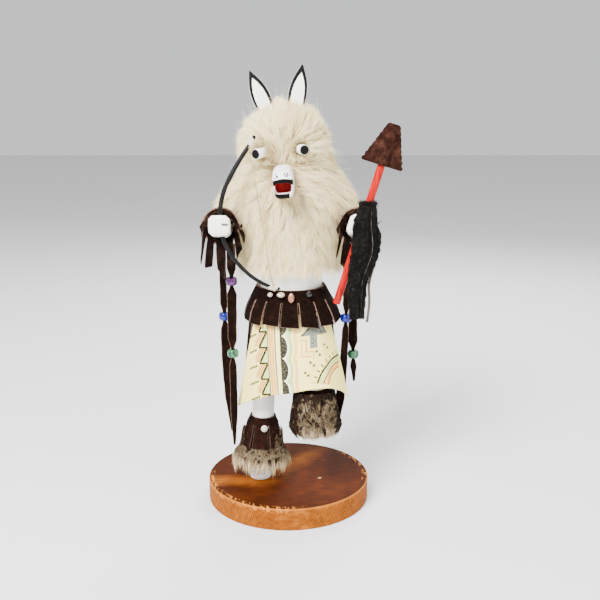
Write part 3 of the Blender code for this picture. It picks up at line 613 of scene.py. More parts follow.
class Surface:
    """A smooth closed surface that fur lies along."""

    def __init__(self, points, faces):
        self.points = np.array(points)
        self.faces = np.array(faces)
        self.tree = BVHTree.FromPolygons([tuple(p) for p in points], [tuple(f) for f in faces])

    def nearest(self, points):
        """The closest places on the surface, and the normals there."""
        found = [self.tree.find_nearest(Vector(p)) for p in points]
        return np.array([f[0] for f in found]), np.array([f[1] for f in found])

    def scatter(self, count, random, weight):
        """Random places on the four-sided faces, more of them where the weight is high."""
        a, b, c, d = (self.points[self.faces[:, k]] for k in range(4))
        area = np.linalg.norm(np.cross(c - a, d - b), axis=1) / 2
        share = area * weight((a + b + c + d) / 4)
        pick = random.choice(len(area), count, p=share / share.sum())
        u, v = random.random((2, count, 1))
        return (a[pick] * (1 - u) + b[pick] * u) * (1 - v) + (d[pick] * (1 - u) + c[pick] * u) * v


def ribbons(name, paths, flat, width, attribute, finish, slot, *nodes):
    """Tapered ribbons: paths is (strands, levels, 3) and flat holds the way each ribbon is wide."""
    strands, levels = paths.shape[:2]
    taper = np.linspace(1, 0, levels)[None, :, None] ** 0.7
    half = flat * (width[:, None, None] * taper / 2)
    rows = np.stack([paths - half, paths + half], axis=2)[:, :-1].reshape(strands, -1, 3)
    points = np.concatenate([rows, paths[:, -1:]], axis=1)
    size = points.shape[1]
    corners, starts, at = [], [], 0
    for k in range(levels - 2):
        corners += [2 * k, 2 * k + 1, 2 * k + 3, 2 * k + 2]
        starts.append(at)
        at += 4
    corners += [size - 3, size - 2, size - 1]
    starts.append(at)
    at += 3
    mesh = bpy.data.meshes.new(name)
    mesh.vertices.add(strands * size)
    mesh.vertices.foreach_set("co", points.astype(np.float32).ravel())
    mesh.loops.add(strands * at)
    strand = np.arange(strands)[:, None]
    mesh.loops.foreach_set("vertex_index", (strand * size + np.array(corners)).astype(np.int32).ravel())
    mesh.polygons.add(strands * len(starts))
    mesh.polygons.foreach_set("loop_start", (strand * at + np.array(starts)).astype(np.int32).ravel())
    mesh.update(calc_edges=True)
    mesh.validate()
    mesh.shade_smooth()
    along = np.repeat(np.linspace(0, 1, levels), 2)[:-1]
    stored = np.empty((strands, size, 3), dtype=np.float32)
    stored[..., 0] = along
    stored[..., 1:] = attribute[:, None, :]
    mesh.materials.append(finish.material)
    made = added(name, mesh, nodes)
    give(made, "strand", stored)
    return made


LEVELS = 5


class Coat:
    """A way to grow fur on a surface, with locks that draw together at their tips."""

    def __init__(self, surface, seed, comb, length, depth, proud, sway=0.25, pull=0.75, weight=None):
        self.surface = surface
        self.random = np.random.default_rng(seed)
        self.comb = comb
        self.length = length
        self.depth = depth
        self.proud = proud
        self.sway = sway
        self.pull = pull
        self.weight = weight or (lambda p: np.ones(len(p)))

    def guides(self, roots):
        """The middle line of each lock, from its root to its tip."""
        place, normal = self.surface.nearest(roots)
        lean = self.random.normal(0, self.sway, len(roots))
        length = self.length(place) * self.random.uniform(0.75, 1.25, len(roots))
        tip = self.proud(place) * self.random.uniform(0.3, 1.7, len(roots))
        path = [place - normal * self.depth]
        way = []
        at = place
        for k in range(1, LEVELS):
            flow = self.comb(at, normal)
            flow = flow * np.cos(lean)[:, None] + np.cross(normal, flow) * np.sin(lean)[:, None]
            at, normal = self.surface.nearest(at + flow * (length / (LEVELS - 1))[:, None])
            rise = -self.depth + (tip + self.depth) * (k / (LEVELS - 1)) ** 0.8
            path.append(at + normal * rise[:, None])
            way.append(normal)
        return np.stack(path, axis=1), np.stack([way[0], *way], axis=1)

    def grow(self, locks, strands):
        """Strand paths, the ways they are wide, and the lock that each belongs to."""
        seeds = self.surface.scatter(locks, self.random, self.weight)
        lines, normals = self.guides(seeds)
        tree = kdtree.KDTree(locks)
        for n, p in enumerate(seeds):
            tree.insert(p, n)
        tree.balance()
        roots = self.surface.scatter(strands, self.random, self.weight)
        lock = np.array([tree.find(p)[1] for p in roots])
        offset = roots - seeds[lock]
        line, normal = lines[lock], normals[lock]
        stretch = self.random.uniform(0.72, 1.12, (strands, 1, 1))
        paths = line[:, :1] + offset[:, None] + (line - line[:, :1]) * stretch
        share = np.linspace(0, 1, LEVELS)[None, :, None]
        pull = self.pull * self.random.uniform(0.6, 1.1, (strands, 1, 1))
        paths = paths + (line - paths) * np.minimum(1, pull) * share**1.3 * (stretch < 1.05)
        paths = paths + self.random.normal(0, 1, (strands, 1, 3)) * 0.0009 * share**2
        way = unit(np.gradient(paths, axis=1))
        side = unit(np.cross(way, normal))
        twist = self.random.normal(0, 0.5, (strands, 1, 1))
        flat = side * np.cos(twist) + np.cross(way, side) * np.sin(twist)
        return paths, flat, lock


def inside(paths, tree, gap=0.0):
    """Which points of the strands are inside the faces of a tree, or closer to them than a gap."""
    hit = np.zeros(paths.shape[:2], dtype=bool)
    for n, path in enumerate(paths):
        for k in range(1, paths.shape[1]):
            spot, normal, _, _ = tree.find_nearest(Vector(path[k]), 0.02)
            if spot is not None and (Vector(path[k]) - spot).dot(normal) < gap:
                hit[n, k] = True
                break
    return hit


def in_front(paths, line, reach):
    """Which points of the strands hide a line when they are seen from the front."""
    hit = np.zeros(paths.shape[:2], dtype=bool)
    for share in (0.25, 0.5, 0.75, 1.0):
        spots = paths[:, :-1] + (paths[:, 1:] - paths[:, :-1]) * share
        for p in line:
            near = (spots[..., 0] - p[0]) ** 2 + (spots[..., 2] - p[2]) ** 2 < reach**2
            hit[:, 1:] |= near & (spots[..., 1] < p[1] + reach)
    return hit


def trimmed(paths, hit):
    """Strands cut back to where they first hit something, and which of them are left."""
    last = paths.shape[1] - 1
    paths = paths.copy()
    first = np.where(hit.any(axis=1), hit.argmax(axis=1), last + 1)
    for k in range(2, last + 1):
        these = first == k
        at = np.linspace(0, k - 0.75, last + 1)
        low = at.astype(int)
        short = paths[these]
        paths[these] = short[:, low] + (short[:, low + 1] - short[:, low]) * (at - low)[None, :, None]
    return paths, first > 1


HOOD_SECTIONS = [
    (54.0, 0.6, 9.4, 8.5, 8.5), (54.8, 0.6, 11.0, 9.4, 9.3), (57.4, 0.8, 12.3, 9.9, 9.9),
    (60.9, 0.5, 12.5, 10.2, 10.2), (63.6, 0.1, 12.5, 10.4, 10.4), (65.6, 0.2, 14.3, 10.5, 10.5),
    (67.3, -0.2, 16.7, 10.6, 10.6), (69.0, -0.2, 16.1, 10.6, 10.6), (71.4, 0.3, 14.5, 10.6, 10.6),
    (74.2, 0.5, 12.4, 10.6, 10.6), (77.4, 0.1, 10.5, 10.5, 10.6), (80.9, -0.6, 10.4, 10.4, 10.5),
    (83.9, -0.8, 10.2, 10.1, 10.3), (86.6, -0.6, 9.1, 9.0, 9.2), (89.0, -0.4, 6.9, 6.8, 7.0),
    (90.9, -0.4, 3.9, 3.8, 4.0), (91.9, -0.4, 1.2, 1.2, 1.2),
]
HOOD_LIP = 57.4
HOOD_ROUND = 1.18
HOOD_SIDES = 72
HOOD_HEM = 54.6
FUR_DEPTH = 0.0042


def hood_surface(low, inset):
    """The hood's outer form, pulled in by some percent, from a height up to the crown."""
    heights = np.concatenate([np.arange(low, 88, 0.8), np.arange(88, 91.6, 0.5), [91.85]])
    table = np.array(HOOD_SECTIONS)
    reach = [(z, *between(table, z)) for z in heights]
    points = []
    for z, mid, wide, front, back in reach:
        if z < HOOD_LIP:
            mid, wide = 0.8, 12.3 - (HOOD_LIP - z) * 0.22
            front = back = 9.9 - (HOOD_LIP - z) * 0.10
        shrink = inset * min(1.0, (92.4 - z) / 3)
        for a in circle(HOOD_SIDES):
            side, ahead = math.sin(a), -math.cos(a)
            core = min(wide, front * HOOD_ROUND)
            width = core + (wide - core) * abs(side) ** 3 - shrink
            depth = (front if ahead < 0 else back) - shrink
            points.append(pose(mid + max(0.2, width) * side, max(0.2, depth) * ahead, z - shrink * (z > 85)))
    return points, len(heights)


FACE = on_head(0, -10.6, -2.4)
SOCKETS = [on_head(side * 4.2, -10.6, 3.6) for side in (-1, 1)]


def hood_comb(at, normal):
    """Fur runs outwards from the face over the front, and downhill everywhere else."""
    away = at - FACE
    front = np.clip((0.022 - at[:, 1]) / 0.055, 0, 1)[:, None]
    low = np.clip((FACE[2] - 0.012 - at[:, 2]) / 0.03, 0, 1)[:, None]
    top = np.clip((at[:, 2] - pose(0, 0, 83)[2]) / 0.02, 0, 1)[:, None]
    wide = np.array([1.0, 1.0, 0.9])
    fall = 0.42 + 0.55 * low + 0.5 * (1 - front) - 0.75 * top
    way = unit(away * wide) * front * (1.15 - 0.55 * low) + vec(0, 0, -1) * fall
    way = way - normal * (way * normal).sum(1, keepdims=True)
    return unit(way + 1e-9)


def hood_length(at):
    near = np.linalg.norm(at - FACE, axis=1)
    crown = at[:, 2] > pose(0, 0, 86)[2]
    room = np.maximum(0.005, at[:, 2] - pose(0, 0, 52.4)[2])
    return np.minimum(np.clip(0.0080 + near * 0.27, 0.0080, 0.020) * np.where(crown, 0.8, 1.0), room)


def hood_proud(at):
    """How far the tips stand off: little at the snout, more round the eyes and towards the outline."""
    near = np.linalg.norm(at - FACE, axis=1)
    proud = np.clip(0.0002 + near * 0.040, 0.0004, 0.0030)
    for socket in SOCKETS:
        proud = proud + 0.0026 * np.exp(-((np.linalg.norm(at - socket, axis=1) / 0.011) ** 2))
    return proud


def clipped(paths, hard, stave):
    """Hood hair, cut back where it would go into the face or the arms, or hide the bow."""
    hit = inside(paths, hard, 0.0003) | in_front(paths, stave, BOW_R * 1.5)
    return trimmed(paths, hit | in_front(paths, stave[:9], BOW_R * 2.8))


def hood(finish, density):
    points, rows = hood_surface(HOOD_HEM + 0.6, 1.15)
    skin = piece("hood_pelt", points, ring_faces(rows, HOOD_SIDES), finish, "white_fur", "fur_hood")
    # The pelt under the hair takes about half the root colour: painted shade under the fur
    give(skin, "strand", np.tile((0.28, 0.45, 0.0), (len(points), 1)))
    points, rows = hood_surface(46, 0)
    surface = Surface(points, ring_faces(rows, HOOD_SIDES, caps=False))
    hem = pose(0, 0, HOOD_HEM)[2]

    def above_hem(p):
        return (p[:, 2] > hem) + 0.0

    coat = Coat(surface, 11, hood_comb, hood_length, FUR_DEPTH, hood_proud, weight=above_hem)
    hard = node_tree(HARD)
    stave = smooth_path([pose(*p) for p in BOW_POINTS], 4)
    for part in range(3):
        paths, flat, lock = coat.grow(int(1500 * density**0.5), int(25500 * density))
        paths, kept = clipped(paths, hard, stave)
        random = coat.random
        shade = random.uniform(0, 1, lock.max() + 1)[lock] * 0.65 + random.uniform(0, 0.35, len(lock))
        stain = (random.uniform(0, 1, lock.max() + 1)[lock] > 0.86) * random.uniform(0, 0.4, len(lock))
        width = random.uniform(0.00022, 0.00042, len(lock))
        attribute = np.stack([shade, stain], axis=1)
        name = f"hood_fur_{part + 1}"
        ribbons(name, paths[kept], flat[kept], width[kept], attribute[kept], finish, "white_fur")

    def long(p):
        return hood_length(p) * 1.35

    def loose(p):
        return hood_proud(p) * 3.2 + 0.001

    stray = Coat(surface, 12, hood_comb, long, FUR_DEPTH, loose, sway=0.55, pull=0.1, weight=above_hem)
    paths, flat, lock = stray.grow(900, 1500)
    paths, kept = clipped(paths, hard, stave)
    attribute = np.tile((0.9, 0.0), (kept.sum(), 1))
    width = np.full(kept.sum(), 0.00020)
    ribbons("hood_stray_hairs", paths[kept], flat[kept], width, attribute, finish, "white_fur")
    for name, side in (("bow_side", -1), ("lance_side", 1)):
        brow(name, side, finish)


def eye_line(side):
    """The middle of an eye's face, and the way the peg points."""
    outward = math.radians(34 if side < 0 else 18)
    way = unit(FACE_TURN @ vec(side * math.sin(outward), -math.cos(outward), -0.06))
    return on_head(side * 5.35 - 0.15, -12.9, 3.5), way


def brow(name, side, finish):
    """The soft fur that closes round the root of an eye."""
    face, way = eye_line(side)
    across = unit(np.cross(way, vec(0, 0, 1)))
    up = np.cross(across, way)
    random = np.random.default_rng(60 + side)
    count = 1500
    angle = random.uniform(0, 2 * math.pi, count)
    out = np.cos(angle)[:, None] * across + np.sin(angle)[:, None] * up
    start = random.uniform(1.12, 1.9, (count, 1)) * EYE_R
    root = face - way * random.uniform(0.0105, 0.0135, (count, 1)) + out * start
    long = random.uniform(0.0040, 0.0085, (count, 1))
    share = np.linspace(0, 1, LEVELS)[None, :, None]
    flare = (random.uniform(0.1, 0.6, (count, 1)) * out + random.normal(0, 0.16, (count, 3)))[:, None]
    paths = root[:, None] + (way * share + flare * share**1.6) * long[:, None]
    radial = paths - face
    radial = radial - (radial @ way)[..., None] * way
    close = np.linalg.norm(radial, axis=2, keepdims=True)
    paths = paths + radial / close * np.maximum(0, EYE_R * 1.06 - close)
    flat = np.repeat(unit(np.cross(way, out))[:, None], LEVELS, axis=1)
    attribute = np.stack([random.uniform(0.3, 1, count), np.zeros(count)], axis=1)
    width = random.uniform(0.0002, 0.00036, count)
    ribbons(f"brow_{name}", paths, flat, width, attribute, finish, "white_fur")


# Face


EAR_SPREAD = math.radians(17)
EAR_TILT = math.radians(-2)
EAR_WIDTH, EAR_LENGTH, EAR_THICKNESS, EAR_CURVE = 0.0155, 0.054, 0.0030, 0.0015
EAR_SHAPE = [
    (0, 0.50), (0.2, 0.66), (0.34, 0.82), (0.48, 0.98), (0.6, 1),
    (0.7, 0.92), (0.8, 0.72), (0.9, 0.40), (1, 0.06),
]


def ear_finish(name, side):
    """White leaf, black border that is wider towards the tip, and a grey edge: partly the slat's bare edge
    and partly a painted highlight along it.
    """
    f = Finish(name, 0.55, Specular_IOR_Level=0.08)
    across, along, flat = f.attribute("place")
    half = f.ramp(along, *[(at, (wide, wide, wide, 1)) for at, wide in EAR_SHAPE])
    half = f.split(half)[0]
    wobble = f.noise(0.004, 2) * 0.08 - 0.04
    out = abs(across) / half
    leaf = half - along * 0.24 - 0.21 - abs(across - 0.03 * side) + wobble * 0.8
    inner = leaf.over(0.0, 0.03)
    strokes = f.noise(0.0016, 4, 0.6, (1, 1, 8))
    white = f.mix(strokes.over(0.5, 0.4) * 0.25, WHITE, tone(214, 212, 205))
    black = f.mix(strokes.over(0.6, 0.3) * 0.3, tone(6, 6, 7), tone(30, 30, 30))
    # The grey is partly the bare edge and partly a painted highlight along the rim of the slat
    grey = f.mix(strokes.over(0.5, 0.3) * 0.5, tone(186, 184, 178), tone(120, 116, 110))
    colour = f.layers(black, (inner, white), (out.over(0.945, 0.02), grey))
    f.colour(f.mix(flat, colour, grey))
    f.roughness(strokes * 0.2 + 0.36)
    f.bump(strokes, 0.00012)
    return f


def ear(name, side):
    """A leaf-shaped slat with rounded edges."""
    root = on_head(0.9 + side * 1.55, -0.6, 7.1)
    lean = FACE_TURN @ rolled(side * EAR_SPREAD + EAR_TILT) @ vec(0, 0, 1)
    right = np.cross(lean, vec(0, 1, 0))
    right = unit(right if right[0] > 0 else -right)
    shares = np.concatenate([np.linspace(0, 0.9, 28), np.linspace(0.92, 1, 7)])
    wide = np.interp(shares, *zip(*EAR_SHAPE))
    wide = np.convolve(np.pad(wide, 1, "edge"), (0.25, 0.5, 0.25), "valid")
    outline = [(-1, -0.6), (-0.9, -1), (-0.45, -1), (0, -1), (0.45, -1), (0.9, -1), (1, -0.6),
               (1, 0.6), (0.9, 1), (0.45, 1), (0, 1), (-0.45, 1), (-0.9, 1), (-1, 0.6)]
    points, places = [], []
    for share, w in zip(shares, wide):
        middle = root + lean * (EAR_LENGTH * share) + vec(0, -EAR_CURVE * math.sin(math.pi * share), 0)
        for a, b in outline:
            points.append(middle + right * (a * w * EAR_WIDTH / 2) + vec(0, b * EAR_THICKNESS / 2, 0))
            places.append((a * w, share, 1.0 if abs(b) < 0.7 else 0.0))
    faces = ring_faces(len(shares), len(outline))
    made = piece(name, points, faces, ear_finish(name, side), "face_paint", name)
    give(made, "place", places)


EYE_R = 0.0039
EYE_LENGTH = 0.020
EYE_SIDES = 32
EYE_PROFILE = [
    (1, 0), (1, 0.5), (1, 0.90), (1, 0.965),
    (0.98, 0.985), (0.93, 0.996), (0.86, 1), (0.5, 1.003), (0.02, 1.004),
]


def eye(name, side):
    """A white peg with a soft rim and a flat black end."""
    face, way = eye_line(side)
    f = Finish(name, 0.55, Specular_IOR_Level=0.08)
    along, out, _ = f.attribute("place")
    strokes = f.noise(0.0012, 3, 0.6)
    white = f.mix(strokes.over(0.5, 0.3) * 0.3, WHITE, tone(205, 200, 190))
    black = f.mix(strokes.over(0.55, 0.3) * 0.5, tone(7, 6, 6), tone(30, 27, 26))
    f.colour(f.mix(along.over(0.992, 0.002) & (out + strokes * 0.1).under(0.98, 0.05), white, black))
    f.roughness(strokes * 0.2 + 0.4)
    f.bump(strokes, 0.00015)
    turn = turn_to(way)
    points, places = [], []
    root = face - way * EYE_LENGTH
    for radius, height in EYE_PROFILE:
        for a in -circle(EYE_SIDES):
            points.append(root + turn @ (around(a) * radius * EYE_R + vec(0, 0, height * EYE_LENGTH)))
            places.append((height, radius, 0))
    made = piece(name, points, ring_faces(len(EYE_PROFILE), EYE_SIDES), f, "face_paint", name)
    give(made, "place", places)


MUZZLE_WIDTH, MUZZLE_LENGTH = 0.0162, 0.036
MUZZLE_ROOT_Y = -(10.6 * PERCENT - 0.011)
MUZZLE_MIDDLE = -2.7
MUZZLE_SHAPE = [
    (0, 1.04, -3.9, 3.4), (0.40, 1.02, -3.8, 3.1), (0.70, 1, -3.7, 2.7), (0.86, 0.975, -3.65, 2.3),
    (0.95, 0.92, -3.55, 1.85), (0.985, 0.86, -3.4, 1.55), (1, 0.80, -3.3, 1.3),
]
MOUTH_WIDTH, MOUTH_HEIGHT, MOUTH_DEPTH = 0.0124, 0.0078, 0.011
# How far back each ring of the mouth is, how wide, and what it tells the finish
MOUTH_RINGS = [
    (0, 1.04, 1.0), (0.0004, 1.0, 1.05), (0.004, 0.97, 1.3),
    (MOUTH_DEPTH * 0.97, 0.86, 1.6), (MOUTH_DEPTH, 0.80, 1.7),
]
# Across and up from the middle of the snout, and the radius in millimetres
NOSE_DOTS = [
    (-0.0047, 0.0062, 0.6), (-0.0040, 0.0045, 0.9), (-0.0056, 0.0034, 0.6), (0.0018, 0.0060, 0.7),
    (0.0040, 0.0060, 0.7), (0.0033, 0.0045, 0.85), (0.0013, 0.0046, 0.45), (0.0051, 0.0048, 0.45),
]
MUZZLE_SIDES = 48


def muzzle_ring(middle, half_w, half_h, power):
    ring = []
    for a in circle(MUZZLE_SIDES):
        c, s = math.cos(a), math.sin(a)
        reach = (abs(c) ** power + abs(s) ** power) ** (-1 / power)
        ring.append(middle + FACE_TURN @ vec(half_w * reach * c, 0, half_h * reach * s))
    return ring


def muzzle_finish():
    """White snout with nose dots, black lips, a red mouth and a pale lower lip."""
    f = Finish("muzzle_paint", 0.5, Specular_IOR_Level=0.1)
    across, up, deep = f.attribute("place")
    strokes = f.noise(0.0018, 4, 0.6, (1, 1, 3))
    wobble = f.noise(0.0022, 3) * 0.0009 - 0.00045
    white = f.mix(strokes.over(0.5, 0.4) * 0.25, WHITE, tone(212, 208, 200))
    bend = across * across * 60
    upper = (up + bend * 0.35 + wobble).within(-0.0014, 0.0026, 0.0002)
    middle = (across + 0.0012 + wobble).within(-0.0056, 0.0056, 0.0003)
    lower = (up - bend * 0.3 + wobble).under(-0.0056, 0.0002) & middle
    front = deep.over(0.86, 0.01)
    black = tone(3, 3, 3)
    red = f.ramp(f.noise(0.003, 3), (0.35, tone(104, 6, 12)), (0.65, tone(160, 12, 18)))
    colour = f.layers(white, (front & upper, black), (front & lower, black))
    mouth = deep.over(1.02, 0.01)
    colour = f.mix(mouth, colour, red)
    pale = mouth & deep.under(1.45, 0.02) & (up - bend * 0.3 + wobble).within(-0.0100, -0.0060, 0.0003)
    colour = f.mix(pale, colour, tone(240, 214, 208))
    for x, z, size in NOSE_DOTS:
        dot = distance(across - x, up - z).under(size / 1000, 0.0002) & deep.within(0.45, 1.01, 0.01)
        colour = f.mix(dot, colour, black)
    f.colour(colour)
    f.roughness(strokes * 0.2 + 0.3)
    f.bump(strokes, 0.00015)
    return f


def muzzle():
    right, up = FACE_TURN @ vec(1, 0, 0), FACE_TURN @ vec(0, 0, 1)
    centre = on_head(0, 0, MUZZLE_MIDDLE)
    rings, deep = [], []
    for share in [*np.linspace(0, 0.86, 12), 0.91, 0.95, 0.97, 0.985, 0.994, 1.0]:
        wide, low, high = between(MUZZLE_SHAPE, share)
        middle = on_head(0, 0, MUZZLE_MIDDLE + (low + high) / 2)
        middle[1] = MUZZLE_ROOT_Y - MUZZLE_LENGTH * share
        rings.append(muzzle_ring(middle, MUZZLE_WIDTH * wide / 2, (high - low) / 2 * PERCENT, 3.4))
        deep.append(share)
    tip = np.mean(rings[-1], axis=0)
    mouth = tip - up * 0.0012
    for back, grow, share in MOUTH_RINGS:
        middle = mouth + vec(0, back, 0)
        rings.append(muzzle_ring(middle, MOUTH_WIDTH / 2 * grow, MOUTH_HEIGHT / 2 * grow, 5))
        deep.append(share)
    places = []
    for ring, share in zip(rings, deep):
        places += [((p - centre) @ right, (p - centre) @ up, share) for p in ring]
    made = loft("muzzle_snout", rings, muzzle_finish(), "face_paint", "muzzle")
    give(made, "place", places)


# Bow and lance


BOW_POINTS = [
    (-7.0, -10.8, 84.3), (-8.4, -11.0, 82.0), (-10.1, -11.3, 79.5), (-12.0, -11.6, 76.3),
    (-13.8, -11.9, 72.6), (-14.7, -12.0, 69.0), (-15.0, -12.0, 65.4), (-14.3, -12.0, 61.8),
    (-13.2, -11.9, 59.2), (-11.9, -11.6, 57.0), (-9.9, -11.1, 54.6), (-7.6, -10.6, 52.5),
    (-4.8, -10.1, 50.8), (-1.7, -9.8, 49.8),
]
BOW_R, BOW_TIP_R = 0.0018, 0.0013
TWINE_R = 0.00055
WRAP_LENGTH = 0.0072
WRAP_FROM_TIP = 0.0058
WRAP_TURNS = 5


def coil(name, path, radius, turns, strand, finish, slot, *nodes):
    """Twine wound round a short straight path."""
    start, end = path
    way = unit(end - start)
    turn = turn_to(way)
    count = turns * 20
    line = []
    for k in range(count + 1):
        t = k / count
        line.append(start + (end - start) * t + turn @ (around(2 * math.pi * turns * t) * radius))
    return tube(name, line, [strand] * len(line), 8, finish, slot, *nodes)


def twisted(name, path, radius, pitch, finish, slot, *nodes, plies=2):
    """Twisted plies along a path."""
    rings = tube_rings(path, [1.0] * len(path), 4)
    lengths = np.concatenate([[0], np.cumsum(np.linalg.norm(np.diff(path, axis=0), axis=1))])
    points, faces = [], []
    sides = 8
    for ply in range(plies):
        line = []
        for k, p in enumerate(path):
            a = 2 * math.pi * (lengths[k] / pitch + ply / plies)
            across, up = (np.array(rings[k][n]) - p for n in (0, 1))
            line.append(p + (across * math.cos(a) + up * math.sin(a)) * radius * 0.48)
        tubes = tube_rings(line, [radius * 0.54] * len(line), sides)
        start = len(points)
        points += [p for ring in tubes for p in ring]
        faces += [tuple(start + v for v in f) for f in ring_faces(len(tubes), sides)]
    return piece(name, points, faces, finish, slot, *nodes)


def bow(stave, twine, string):
    path = smooth_path([pose(*p) for p in BOW_POINTS], 6)
    middle = (len(path) - 1) / 2
    radii = []
    for i in range(len(path)):
        thin = abs(i / middle - 1) ** (7 if i < middle else 1.4)
        uneven = 1 + 0.035 * math.sin(i * 0.9) * math.sin(i * 0.23)
        radii.append((BOW_R + (BOW_TIP_R - BOW_R) * thin) * uneven)
    radii[-1] *= 0.8
    tube("bow_rod", path, radii, 16, stave, "black_paint", "bow_stave")
    ends = []
    for name, tip, after in (("bow_wrap_top", 0, 1), ("bow_wrap_low", -1, -2)):
        tip, after = pose(*BOW_POINTS[tip]), pose(*BOW_POINTS[after])
        along = unit(after - tip)
        place = tip + along * WRAP_FROM_TIP
        reach = WRAP_LENGTH / 2 - TWINE_R
        span = (place - along * reach, place + along * reach)
        coil(name, span, BOW_TIP_R + TWINE_R * 2.3, WRAP_TURNS, TWINE_R * 0.86, twine, "twine", name)
        coil(f"{name}_under", span, BOW_TIP_R + TWINE_R * 0.9, WRAP_TURNS, TWINE_R * 0.9, twine, "twine")
        ends.append((place, along))
    (top, down), (low, back) = ends
    way = unit(low - top)
    reach = BOW_TIP_R + TWINE_R * 4.2
    start = top + unit(np.cross(down, way)) * reach + down * WRAP_LENGTH / 2
    end = low + unit(np.cross(back, way)) * reach
    line = np.array([start + (end - start) * t for t in np.linspace(0, 1, 150)])
    twisted("bow_string", line, TWINE_R * 0.85, 0.0026, string, "twine", "bow_string")


LANCE_FOOT, LANCE_TIP = pose(11.2, -11.6, 46.8), pose(22.9, -11.6, 84.8)
SHAFT_R = 0.003
LANCE_HEAD_LENGTH, LANCE_HEAD_WIDTH, LANCE_HEAD_TOP = 0.0325, 0.034, 0.0095
LANCE_HEAD_EDGE, LANCE_SOCKET, LANCE_HEAD_TAPER = 0.0026, 0.77, 0.22


# Shares of the shaft's length and of its radius
SHAFT = [(0, 0.86), (0.004, 1), (0.25, 1), (0.5, 0.985), (0.75, 1), (0.998, 1), (1, 0.9)]


def lance(paint, suede):
    way = unit(LANCE_TIP - LANCE_FOOT)
    path = [LANCE_FOOT + (LANCE_TIP - LANCE_FOOT) * t for t, _ in SHAFT]
    tube("lance_rod", path, [SHAFT_R * size for _, size in SHAFT], 24, paint, "red_paint", "lance_shaft")
    foot = LANCE_TIP - way * (LANCE_SOCKET * LANCE_HEAD_LENGTH)
    right = unit(vec(way[2], 0, -way[0]))
    rows, columns = 26, 40
    shells = ([], [])
    random = np.random.default_rng(5)
    for j in range(rows + 1):
        t = j / rows
        half = (LANCE_HEAD_WIDTH + (LANCE_HEAD_TOP - LANCE_HEAD_WIDTH) * t) / 2
        half = half * (1 - 0.05 * math.cos(j * 1.9) * random.random()) - 0.0008 * (t in (0, 1))
        middle = foot + way * (LANCE_HEAD_LENGTH * t)
        for side, shell in ((-1, shells[0]), (1, shells[1])):
            row = []
            for i in range(columns + 1):
                across = -1 + 2 * i / columns
                crown = math.exp(-((across * half / (SHAFT_R * 1.6)) ** 4))
                crown *= min(1, (1.03 - t) / LANCE_HEAD_TAPER)
                pinch = 0.35 if i in (0, columns) else 1
                deep = LANCE_HEAD_EDGE / 2 * pinch + crown * (SHAFT_R + FIT_GAP + SUEDE - LANCE_HEAD_EDGE / 2)
                fuzz = 0.00022 * (random.random() - 0.5)
                row.append(middle + right * (across * half) + vec(0, side * (deep + fuzz), 0))
            shell.append(row)
    rings = [front + back[::-1] for front, back in zip(*shells)]
    loft("lance_point", rings, suede, "brown_suede", "lance_head", sharp=80)


# Soft goods below


def strip_angles(strips, slit, faces):
    """Angles of a fringe's columns: each strip is that many faces wide, and a narrow slit follows it."""
    pitch = 2 * math.pi / strips
    spots = [(k, n) for k in range(strips) for n in range(faces + 1)]
    return np.array([pitch * (k - 0.5) + (pitch - slit) * n / faces for k, n in spots])


KILT_PROFILE = [(0, 0), (0.10, 0.9), (0.22, 2.0), (0.34, 2.3), (0.55, 2.8), (0.8, 3.3), (1, 3.5)]
KILT_LENGTH = 0.088
KILT_STRIPS, KILT_FACES, KILT_SLIT = 14, 7, math.radians(2.2)
KILT_OPEN = (-2, 3)
KILT_BAND = 0.30
KILT_WAVE = 0.0009
FLAP_LENGTH = 0.0285
FLAP_STRIPS, FLAP_FACES, FLAP_SLIT = 16, 6, math.radians(1.6)
FLAP_BAND = 0.34
FLAP_WAVE = 0.0004
APRON_TOP = 0.018


def kilt_radius(share):
    """The kilt's inner radius at a share of its length."""
    return TORSO_R + FIT_GAP + between(KILT_PROFILE, share)[0] * PERCENT


def flap_radius(share, phi):
    under = kilt_radius(share * FLAP_LENGTH / KILT_LENGTH) + SUEDE + LAYER_GAP
    apron = (CLOTH + LAYER_GAP) * min(1, share * 2.5)
    flare = 0.5 + 0.5 * math.sin(phi)
    front = max(0.0, math.cos(phi - 0.35))
    return under + apron + (0.0008 + 0.0022 * flare**2 + 0.0030 * front) * share**2


def fringe_shares(band, rows_band, rows_strip):
    return np.concatenate([np.linspace(0, band, rows_band), np.linspace(band, 1, rows_strip)[1:]])


def fringe(angles, faces, shares, band):
    """The points of a fringe's grid, as column, row, angle, share, strip, place across it and looseness.

    The place across a strip goes from -1 to 1, and the looseness from 0 at the band to 1 at the foot.
    """
    for i, phi in enumerate(angles):
        strip, n = divmod(i, faces + 1)
        for j, share in enumerate(shares):
            yield i, j, phi, share, strip, n / faces * 2 - 1, max(0.0, (share - band) / (1 - band))


